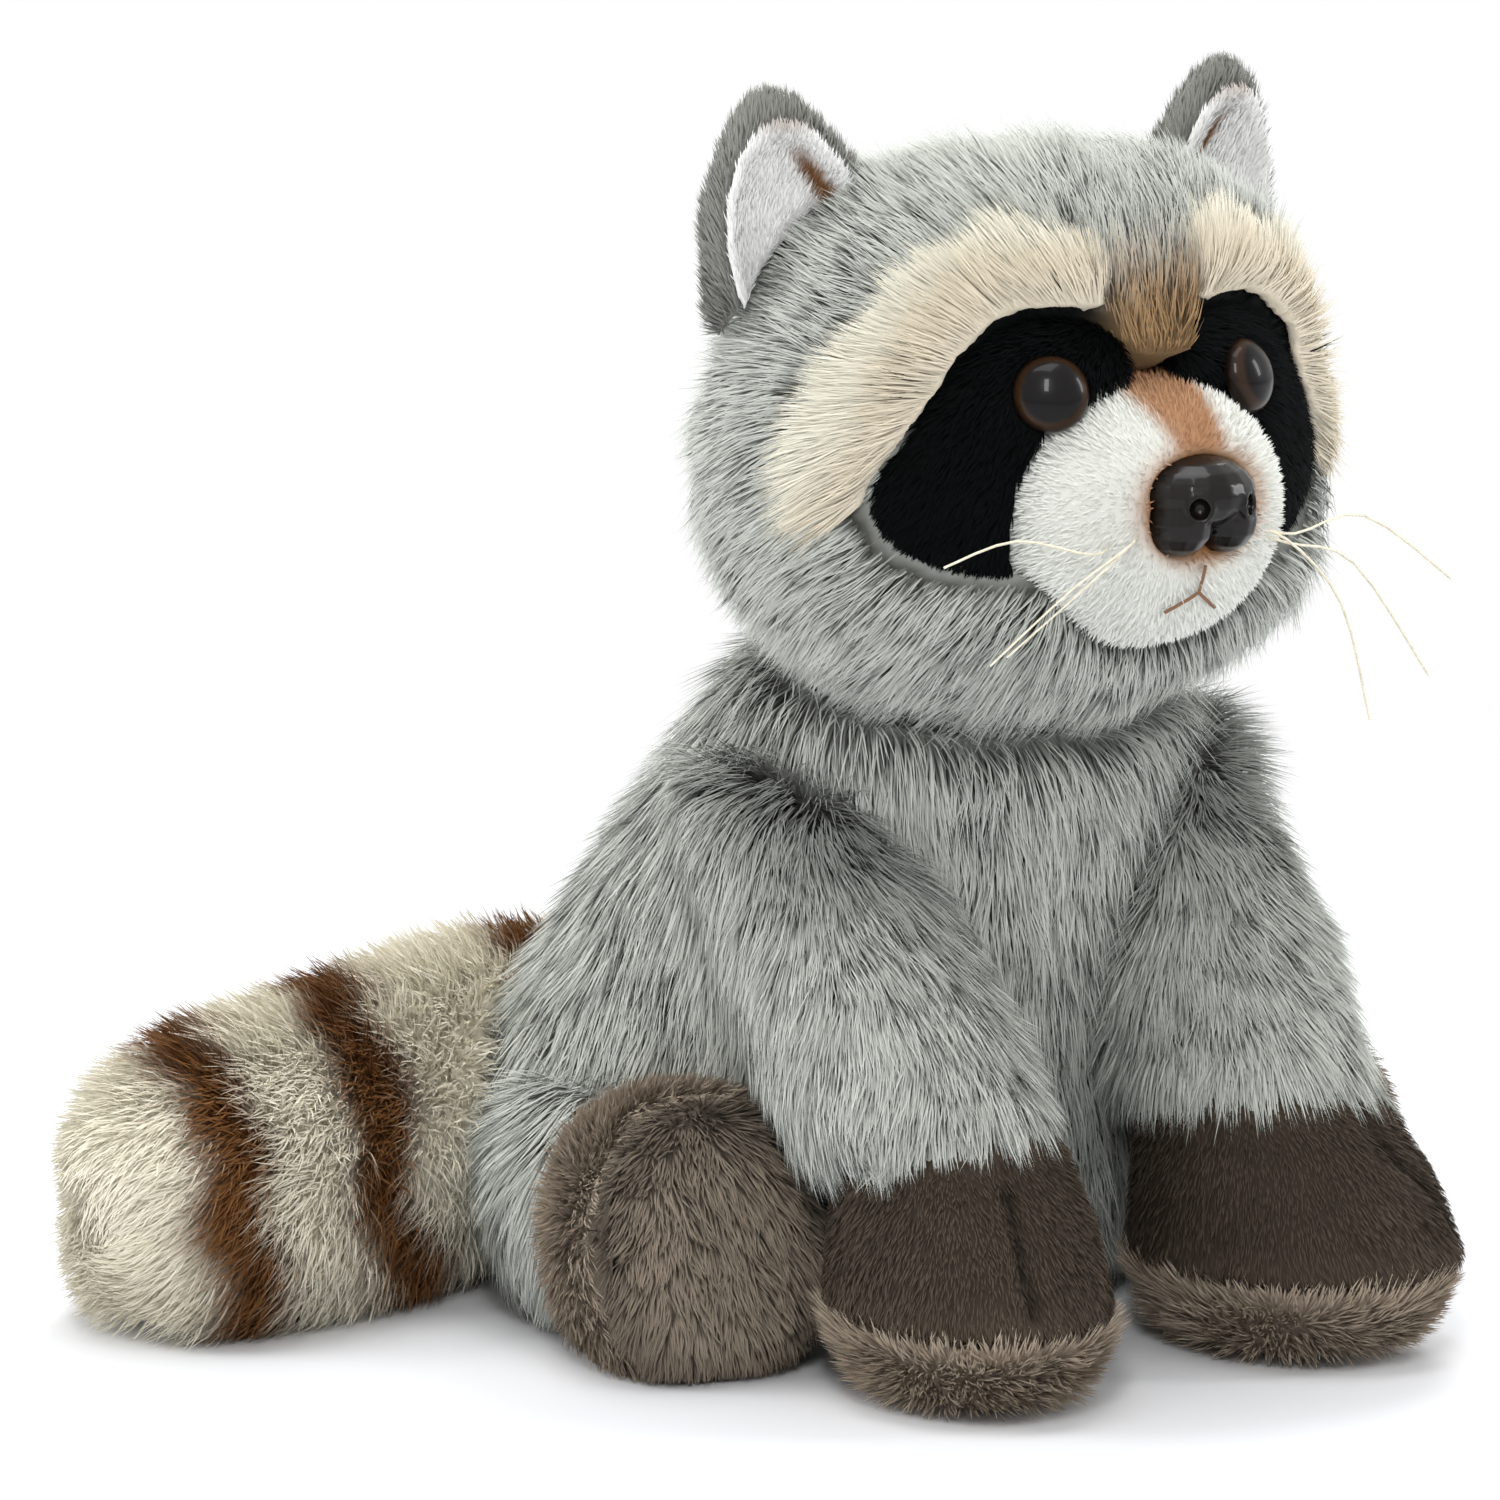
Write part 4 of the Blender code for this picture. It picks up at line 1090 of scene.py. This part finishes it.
class RACCOON_OT_front_legs(bpy.types.Operator):
    """Make the front legs, paws and soles."""

    bl_idname = "raccoon.front_legs"
    bl_label = "Front legs"

    def execute(self, context):
        pile, colours, _stage = settings()
        for number, (side, sign) in enumerate(SIDES.items()):
            self.leg(side, sign, pile, colours, 60 + number)
            self.paw(side, pile, colours, 70 + number)
            self.sole(side, pile, colours, 80 + number)
        return {"FINISHED"}

    def leg(self, side, sign, pile, colours, seed):
        """One leg, whose pile parts round a crown at the shoulder."""
        _low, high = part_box(f"front_leg_{side}")
        crown = np.array((sign * 0.043, -0.063, high.z - 0.012))
        coat = Coat(pile.leg, 18800, 0.00040, sink=0.0044, lift=0.50, droop=0.30, voxel=0.0032)
        around = ["body", "head", f"front_paw_{side}"]

        def slimmer(points):
            """The left leg is a little flatter on its outer side and at its top."""
            outer = step(points[:, 0], 0.042, 0.060)
            top = step(points[:, 2], high.z - 0.028, high.z - 0.008)
            away = step(nearness(points, ["body"]), 0.004, 0.014)
            return LEG_FLATTER * (side == "left") * np.maximum(outer, top) * away

        sewn = skin(f"front_leg_fur_{side}", f"front_leg_{side}", coat, around, puff=SWELLING, extra=slimmer)

        def flow(points, _normals):
            """Down the leg, and to both sides of a parting at the shoulder."""
            away = (points - crown) * np.array((1.0, 1.0, 0.25))
            close = PARTING_SHARE * np.exp(-((np.linalg.norm(points - crown, axis=1) / PARTING) ** 2))
            down = spread((0.12 * sign, -0.25, -1.0), len(points))
            return blended(down, unit(away), close)

        def paint(points, _normals):
            """Frosted grey, dark where the pile parts."""
            off = (points - crown) * np.array((1.0, 1.0, 0.7))
            close = np.exp(-((np.linalg.norm(off, axis=1) / SHADOW) ** 2))
            root = spread(colours.grey_root, len(points))
            tip = spread(colours.grey_tip, len(points)) * (1 - SHADOW_SHARE[side] * close)[:, None]
            return root, tip

        dress(f"front_leg_{side}", sewn, coat, flow, paint, seed, "grey_pile", LOOSE_FILL)

    def paw(self, side, pile, colours, seed):
        """The dark upper of one paw."""
        coat = Coat(pile.paw, 9000, 0.00034, sink=0.0013, lift=0.45, droop=0.15, tuft=0.002, pull=0.2,
                    wave=0.4, stray=0.10, voxel=0.0013, smoothing=3)
        around = [f"front_leg_{side}", f"front_sole_{side}", "body"]

        def crease(points):
            """Extra depth in the crease, and a fuller outer side on the left paw."""
            fuller = PAW_FULLER * (side == "left") * step(points[:, 0], 0.046, 0.060)
            return CREASE_DEPTH * along_crease(points, side) - fuller

        def paint(points, _normals):
            """Dark taupe, with painted shade in the crease."""
            shade = 1 - 0.5 * along_crease(points, side)
            tip = spread(colours.paw, len(points)) * shade[:, None]
            # Darker roots: painted shade deep in the pile
            return tip * 0.6, tip

        sewn = skin(f"front_paw_fur_{side}", f"front_paw_{side}", coat, around, extra=crease)
        dress(f"front_paw_{side}", sewn, coat, body_flow, paint, seed, "dark_pile", FIRM_FILL)

    def sole(self, side, pile, colours, seed):
        """The light sole of one paw."""
        low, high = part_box(f"front_sole_{side}")
        middle = (low + high) / 2
        coat = Coat(pile.sole, 5500, 0.00042, sink=0.0028, lift=0.5, droop=0.1, tuft=0.004, voxel=0.0022,
                    smoothing=2)
        sewn = skin(f"front_sole_fur_{side}", f"front_sole_{side}", coat, [f"front_paw_{side}"])
        # Darker roots: painted shade deep in the pile
        paint = plain_colours(darker(colours.sole, 0.6), colours.sole)
        outward = flow_from((middle.x, middle.y, low.z))

        def flow(points, normals):
            """Outward, up over the seam and down at the ground."""
            away = outward(points, normals)
            away[:, 2] += 1.6 * step(points[:, 2], middle.z - 0.001, high.z) - 0.6
            return away

        dress(f"front_sole_{side}", sewn, coat, flow, paint, seed, "sole_pile", FIRM_FILL)


FOOT_FLATTER = 0.0040


def outer_depth(side, near, far):
    """A function for the extra depth on the outer side of the right foot."""

    def slimmer(points):
        """Extra depth at some points."""
        return FOOT_FLATTER * (side == "right") * step(-points[:, 0], near, far)

    return slimmer


class RACCOON_OT_hind_legs(bpy.types.Operator):
    """Make the hind legs, feet and soles."""

    bl_idname = "raccoon.hind_legs"
    bl_label = "Hind legs"

    def execute(self, context):
        pile, colours, _stage = settings()
        for number, side in enumerate(SIDES):
            self.thigh(side, pile, colours, 90 + number)
            self.foot(side, pile, colours, 100 + number)
            self.sole(side, pile, colours, 110 + number)
        return {"FINISHED"}

    def thigh(self, side, pile, colours, seed):
        """The grey thigh beside the body."""
        coat = Coat(pile.leg, 5500, 0.00044, sink=0.0044, lift=0.50, droop=0.30, voxel=0.0034)
        around = ["body", f"hind_foot_{side}", f"front_leg_{side}"]
        sewn = skin(f"hind_leg_fur_{side}", f"hind_leg_{side}", coat, around)
        paint = plain_colours(colours.grey_root, colours.grey_tip)
        dress(f"hind_leg_{side}", sewn, coat, body_flow, paint, seed, "grey_pile", LOOSE_FILL)

    def foot(self, side, pile, colours, seed):
        """The taupe side of the foot."""
        coat = Coat(pile.sole, 6000, 0.00042, sink=0.0014, lift=0.5, droop=0.15, tuft=0.004, voxel=0.0024,
                    smoothing=2)
        around = [f"hind_sole_{side}", f"hind_leg_{side}", "body", f"front_leg_{side}"]
        slimmer = outer_depth(side, 0.076, 0.090)
        sewn = skin(f"hind_foot_fur_{side}", f"hind_foot_{side}", coat, around, extra=slimmer)
        low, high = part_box(f"hind_foot_{side}")
        middle = (low + high) / 2
        # Darker roots: painted shade deep in the pile
        paint = plain_colours(darker(colours.sole, 0.5), darker(colours.sole, 0.92))
        flow = flow_from((middle.x, high.y, middle.z))
        dress(f"hind_foot_{side}", sewn, coat, flow, paint, seed, "dark_pile", FIRM_FILL)

    def sole(self, side, pile, colours, seed):
        """The round sole, with painted shade darkening it toward its rim."""
        coat = Coat(pile.sole, 5500, 0.00042, sink=0.0018, lift=0.55, droop=0.15, tuft=0.004, voxel=0.0022,
                    smoothing=2)
        slimmer = outer_depth(side, 0.080, 0.092)
        sewn = skin(f"hind_sole_fur_{side}", f"hind_sole_{side}", coat, [f"hind_foot_{side}"], extra=slimmer)
        low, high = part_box(f"hind_sole_{side}")
        middle = (low + high) / 2

        def paint(points, _normals):
            """Light taupe in the middle, and darker round the rim with painted shade."""
            out = np.linalg.norm((points - np.array(middle))[:, (0, 2)], axis=1)
            # Painted shade round the rim of the sole
            rim = step(out, 0.016, 0.025) * 0.45
            tip = spread(colours.sole, len(points)) * (0.68 * (1 - rim))[:, None]
            # Darker roots: painted shade deep in the pile
            return tip * 0.5, tip

        flow = flow_from((middle.x, middle.y, high.z + 0.035))
        dress(f"hind_sole_{side}", sewn, coat, flow, paint, seed, "sole_pile", FIRM_FILL)


RING_PLACES = (-0.031, -0.079, -0.1145)
RING_HALF = 0.0042
RING_EDGE = 0.0065
TIP_FLATTER = 0.0040


class RACCOON_OT_tail(bpy.types.Operator):
    """Make the tail, cream with brown rings."""

    bl_idname = "raccoon.tail"
    bl_label = "Tail"

    def execute(self, context):
        pile, colours, _stage = settings()
        coat = Coat(pile.tail, 30000, 0.00044, sink=0.0052, lift=0.60, droop=0.20, tuft=0.004, pull=0.20,
                    wave=0.5, stray=0.20, voxel=0.0038)

        def slimmer(points):
            """The tip is a little flatter underneath."""
            low = 1 - step(points[:, 2], 0.018, 0.040)
            return TIP_FLATTER * step(-points[:, 0], 0.125, 0.148) * low

        sewn = skin("tail_fur", "tail", coat, ["body", "hind_leg_right"], puff=SWELLING, extra=slimmer)

        def flow(points, _normals):
            """Toward the tip."""
            return spread((-1.0, -0.25, -0.35), len(points))

        def paint(points, _normals):
            """Pale cream, with a soft brown ring at each ring's place."""
            wander = 0.003 * np.sin(points[:, 2] * 190) + 0.002 * np.sin(points[:, 1] * 310 + 1.3)
            slant = (points[:, 1] - 0.045) * 0.35 + (0.045 - points[:, 2]) * 0.15
            ring = np.zeros(len(points))
            for place in RING_PLACES:
                off = np.abs(points[:, 0] - place - slant - wander)
                ring = np.maximum(ring, 1 - step(off, RING_HALF, RING_HALF + RING_EDGE))
            tip = blended(spread(colours.pale, len(points)), spread(colours.brown, len(points)), ring)
            # Darker roots: painted shade deep in the pile
            return tip * 0.93, tip

        def at_tip(points):
            """Shorter toward the tip, where the pile lies straight out."""
            return 1 - 0.5 * step(-points[:, 0], 0.125, 0.150)

        dress("tail", sewn, coat, flow, paint, 4, "cream_pile", LOOSE_FILL, shorter=at_tip)
        return {"FINISHED"}


# The eyes' aim, size, rolled rim and finish
EYE_SPREAD = math.radians(30)
EYE_LIFT = math.radians(16)
EYE_RADIUS = 0.007
EYE_BULGE = 0.0048
EYE_TURNS = 48
EYE_ROWS = 14
EYE_RIM = [(0.94, -0.0009), (0.80, -0.0012), (0.0, -0.0012)]
PUPIL = (0.004, 0.003, 0.003, 1.0)
EYE_FINISH = {"Roughness": 0.3, "Specular IOR Level": 0.1, "Coat Weight": 0.20, "Coat Roughness": 0.02}
NOSE_FINISH = {"Specular IOR Level": 0.15, "Coat Weight": 0.22, "Coat Roughness": 0.04}


def eye_material(colour):
    """Clear-coated plastic: a black pupil, an amber ring and a dark rim."""
    made, shader, wire = new_material("eye_plastic")
    spread_out = wire.add("ShaderNodeAttribute", attribute_name="spread").outputs["Fac"]
    rim = wire.range(spread_out, 0.90, 1.0, 1.0, 0.25)
    ring = wire.math("MULTIPLY", wire.range(spread_out, 0.74, 0.86), rim)
    grain = wire.noise(900.0, 2.0)
    ring = wire.math("MULTIPLY", ring, wire.range(grain, 0.2, 0.8, 0.75, 1.0))
    mixed = wire.mix(ring, PUPIL, (*colour, 1.0))
    wire.feed(shader.inputs["Base Color"], mixed)
    wire.feed_all(shader, EYE_FINISH)
    return made


class RACCOON_OT_eyes(bpy.types.Operator):
    """Make the domed eyes."""

    bl_idname = "raccoon.eyes"
    bl_label = "Eyes"

    def execute(self, context):
        _pile, colours, _stage = settings()
        plastic = eye_material(colours.iris)
        for side, sign in SIDES.items():
            flat = math.cos(EYE_LIFT)
            ahead = -math.cos(EYE_SPREAD) * flat
            aim = Vector((sign * math.sin(EYE_SPREAD) * flat, ahead, math.sin(EYE_LIFT)))
            corners = [vert.co for vert in NODES[f"eye_{side}"].data.vertices]
            apex = max(corners, key=lambda corner: corner.dot(aim))
            made = self.eyeball(f"eyeball_{side}", apex - aim * EYE_BULGE, aim)
            made.data.materials.append(plastic)
            finish_piece(made, [f"eye_{side}"])
        return {"FINISHED"}

    def eyeball(self, name, seat, aim):
        """A closed dome with a rolled rim, standing at a seat."""
        profile = []
        for row in range(EYE_ROWS + 1):
            angle = math.pi / 2 * row / EYE_ROWS
            profile.append((math.sin(angle), EYE_BULGE * math.cos(angle)))
        profile += EYE_RIM
        builder = bmesh.new()
        layer = builder.verts.layers.float.new("spread")
        turn = aim.to_track_quat("Z", "Y")
        rows = []
        for share, height in profile:
            row = []
            for number in range(EYE_TURNS if share > 1e-6 else 1):
                angle = 2 * math.pi * number / EYE_TURNS
                local = Vector((math.cos(angle), math.sin(angle), 0)) * share * EYE_RADIUS
                vert = builder.verts.new(seat + turn @ (local + UP * height))
                vert[layer] = share
                row.append(vert)
            rows.append(row)
        for upper, lower in zip(rows, rows[1:]):
            for number in range(EYE_TURNS):
                follow = (number + 1) % EYE_TURNS
                ring = [upper[number % len(upper)], lower[number % len(lower)], lower[follow % len(lower)],
                        upper[follow % len(upper)]]
                builder.faces.new(list(dict.fromkeys(ring)))
        bmesh.ops.recalc_face_normals(builder, faces=builder.faces)
        mesh = bpy.data.meshes.new(name)
        builder.to_mesh(mesh)
        builder.free()
        mesh.shade_smooth()
        return linked(name, mesh)


class RACCOON_OT_nose(bpy.types.Operator):
    """Make the moulded nose."""

    bl_idname = "raccoon.nose"
    bl_label = "Nose"

    def execute(self, context):
        _pile, colours, _stage = settings()
        made = remeshed("nose_moulding", "nose", 0.00042, 4)
        made.data.shade_smooth()
        plastic, shader, wire = new_material("nose_plastic")
        cloud = wire.noise(160.0, 3.0)
        deep = (*darker(colours.nose, 0.45), 1.0)
        mixed = wire.mix(wire.range(cloud, 0.3, 0.7), deep, (*colours.nose, 1.0))
        wire.feed(shader.inputs["Base Color"], mixed)
        wire.feed(shader.inputs["Roughness"], wire.range(cloud, 0.2, 0.8, 0.25, 0.32))
        wire.feed_all(shader, NOSE_FINISH)
        made.data.materials.clear()
        made.data.materials.append(plastic)
        finish_piece(made, ["nose"])
        return {"FINISHED"}


def plain_material(name, colour, roughness, scale):
    """A material of one finish whose colour and roughness vary a little."""
    made, shader, wire = new_material(name)
    cloud = wire.noise(scale, 3.0)
    deep = (*darker(colour, 0.8), 1.0)
    wire.feed(shader.inputs["Base Color"], wire.mix(wire.range(cloud, 0.3, 0.7), deep, (*colour, 1.0)))
    wire.feed(shader.inputs["Roughness"], wire.range(cloud, 0.2, 0.8, roughness, roughness + 0.1))
    return made


class RACCOON_OT_trims(bpy.types.Operator):
    """Finish the whiskers, the mouth thread and the washers."""

    bl_idname = "raccoon.trims"
    bl_label = "Whiskers and thread"

    def execute(self, context):
        finishes = {
            "whisker": plain_material("bristle_nylon", linear(236, 228, 205), 0.3, 700.0),
            "mouth_stitch": plain_material("mouth_thread", linear(132, 96, 70), 0.8, 2500.0),
            "nose_washer": plain_material("washer_nylon", linear(228, 228, 224), 0.45, 300.0),
            "eye_washer": plain_material("lock_washer_nylon", linear(228, 228, 224), 0.45, 300.0),
        }
        for name, node in NODES.items():
            for start, material in finishes.items():
                if name.startswith(start):
                    node.data.materials.clear()
                    node.data.materials.append(material)
        return {"FINISHED"}


# What the camera and the lamps look at, the camera's frame, and the lamps' places, sizes and powers
TARGET = Vector((-0.0293, -0.015, 0.1066))
IMAGE_WIDTH = 1500
SENSOR = 0.036
PIXELS_PER_METRE = 5330
LAMPS = {
    "key": ((-1.0, -1.3, 1.3), (0.3, 0.9), 15),
    "fill": ((1.4, -0.9, 0.8), (0.3, 0.8), 9),
    "overhead": ((-0.1, 0.1, 1.9), (1.3, 1.3), 20),
    "rim_right": ((1.0, 1.0, 1.0), (0.7, 0.7), 14),
    "rim_left": ((-1.3, 0.8, 0.9), (0.7, 0.7), 12),
}
FLOOR_REACH = 6.0
FLOOR_LEVEL = -0.0002
FLOOR_FADE = (0.20, 0.60)
PAPER = (0.72, 0.73, 0.75, 1.0)
SURROUND_LIGHT = 0.60


class RACCOON_OT_stage(bpy.types.Operator):
    """Set the floor, the lamps and the camera."""

    bl_idname = "raccoon.stage"
    bl_label = "Stage"

    def execute(self, context):
        _pile, _colours, stage = settings()
        self.camera(stage)
        self.floor()
        self.world()
        for name, (place, size, power) in LAMPS.items():
            self.lamp(name, place, size, power)
        context.scene.view_settings.view_transform = "Standard"
        return {"FINISHED"}

    def camera(self, stage):
        """The camera at the photograph's angle."""
        flat = math.cos(stage.elevation)
        behind = -math.cos(stage.azimuth) * flat
        back = Vector((math.sin(stage.azimuth) * flat, behind, math.sin(stage.elevation)))
        data = bpy.data.cameras.new("camera")
        data.sensor_width = SENSOR * 1000
        data.lens = data.sensor_width * stage.distance * PIXELS_PER_METRE / IMAGE_WIDTH
        made = linked("camera", data)
        made.location = TARGET + back * stage.distance
        made.rotation_euler = back.to_track_quat("Z", "Y").to_euler()
        bpy.context.scene.camera = made

    def floor(self):
        """A pale floor that fades to white away from the toy."""
        mesh = bpy.data.meshes.new("floor")
        turns = ((-1, -1), (1, -1), (1, 1), (-1, 1))
        corners = [(x * FLOOR_REACH, y * FLOOR_REACH, FLOOR_LEVEL) for x, y in turns]
        mesh.from_pydata(corners, [], [(0, 1, 2, 3)])
        made = linked("floor", mesh)
        paper, shader, wire = new_material("paper")
        place = wire.add("ShaderNodeTexCoord").outputs["Object"]
        length = wire.add("ShaderNodeVectorMath", {0: place}, operation="LENGTH").outputs["Value"]
        far = wire.range(length, *FLOOR_FADE)
        wire.feed(shader.inputs["Base Color"], PAPER)
        wire.feed(shader.inputs["Roughness"], 0.7)
        glow = wire.add("ShaderNodeEmission", {"Color": (1, 1, 1, 1), "Strength": 1.0}).outputs[0]
        seen = wire.add("ShaderNodeLightPath").outputs["Is Camera Ray"]
        share = wire.math("MULTIPLY", far, seen)
        mixed = wire.add("ShaderNodeMixShader", {0: share, 1: shader.outputs[0], 2: glow})
        out = paper.node_tree.nodes["Material Output"]
        wire.feed(out.inputs["Surface"], mixed.outputs[0])
        mesh.materials.append(paper)

    def world(self):
        """A plain pale surround, white where the camera or a reflection sees it."""
        world = bpy.data.worlds.new("studio")
        world.use_nodes = True
        bpy.context.scene.world = world
        wire = Wiring(world.node_tree)
        background = world.node_tree.nodes["Background"]
        path = wire.add("ShaderNodeLightPath").outputs
        seen = wire.math("MAXIMUM", path["Is Camera Ray"], path["Is Transmission Ray"])
        seen = wire.math("MAXIMUM", seen, path["Is Glossy Ray"])
        strength = wire.range(seen, 0.0, 1.0, SURROUND_LIGHT, 1.0)
        background.inputs["Color"].default_value = (1, 1, 1, 1)
        wire.feed(background.inputs["Strength"], strength)

    def lamp(self, name, place, size, power):
        """A soft lamp, of a width and a height, that looks at the toy."""
        data = bpy.data.lights.new(name, "AREA")
        data.shape = "RECTANGLE"
        data.size, data.size_y = size
        data.energy = power
        made = linked(name, data)
        made.location = place
        made.rotation_euler = (Vector(place) - TARGET).to_track_quat("Z", "Y").to_euler()


OPERATORS = (
    RACCOON_OT_head,
    RACCOON_OT_muzzle,
    RACCOON_OT_eyes,
    RACCOON_OT_nose,
    RACCOON_OT_trims,
    RACCOON_OT_ears,
    RACCOON_OT_body,
    RACCOON_OT_front_legs,
    RACCOON_OT_hind_legs,
    RACCOON_OT_tail,
    RACCOON_OT_stage,
)


class RACCOON_PT_sidebar(bpy.types.Panel):
    """The raccoon's settings and the steps that make it."""

    bl_idname = "RACCOON_PT_sidebar"
    bl_label = "Plush raccoon"
    bl_space_type = "VIEW_3D"
    bl_region_type = "UI"
    bl_category = "Raccoon"

    def draw(self, context):
        for group in settings():
            box = self.layout.box()
            for name in group.bl_rna.properties.keys():
                if name not in {"rna_type", "name"}:
                    box.prop(group, name)
        for operator in OPERATORS:
            self.layout.operator(operator.bl_idname)


GROUPS = {"raccoon_pile": RaccoonPile, "raccoon_colours": RaccoonColours, "raccoon_stage": RaccoonStage}
CLASSES = (*GROUPS.values(), *OPERATORS, RACCOON_PT_sidebar)


def register():
    for made in CLASSES:
        bpy.utils.register_class(made)
    for name, group in GROUPS.items():
        setattr(bpy.types.Scene, name, bpy.props.PointerProperty(type=group))


def unregister():
    for name in GROUPS:
        delattr(bpy.types.Scene, name)
    for made in reversed(CLASSES):
        bpy.utils.unregister_class(made)


def main():
    """Make every piece in order."""
    register()
    for operator in OPERATORS:
        name = operator.bl_idname.split(".")[1]
        getattr(bpy.ops.raccoon, name)()


if __name__ == "__main__":
    main()
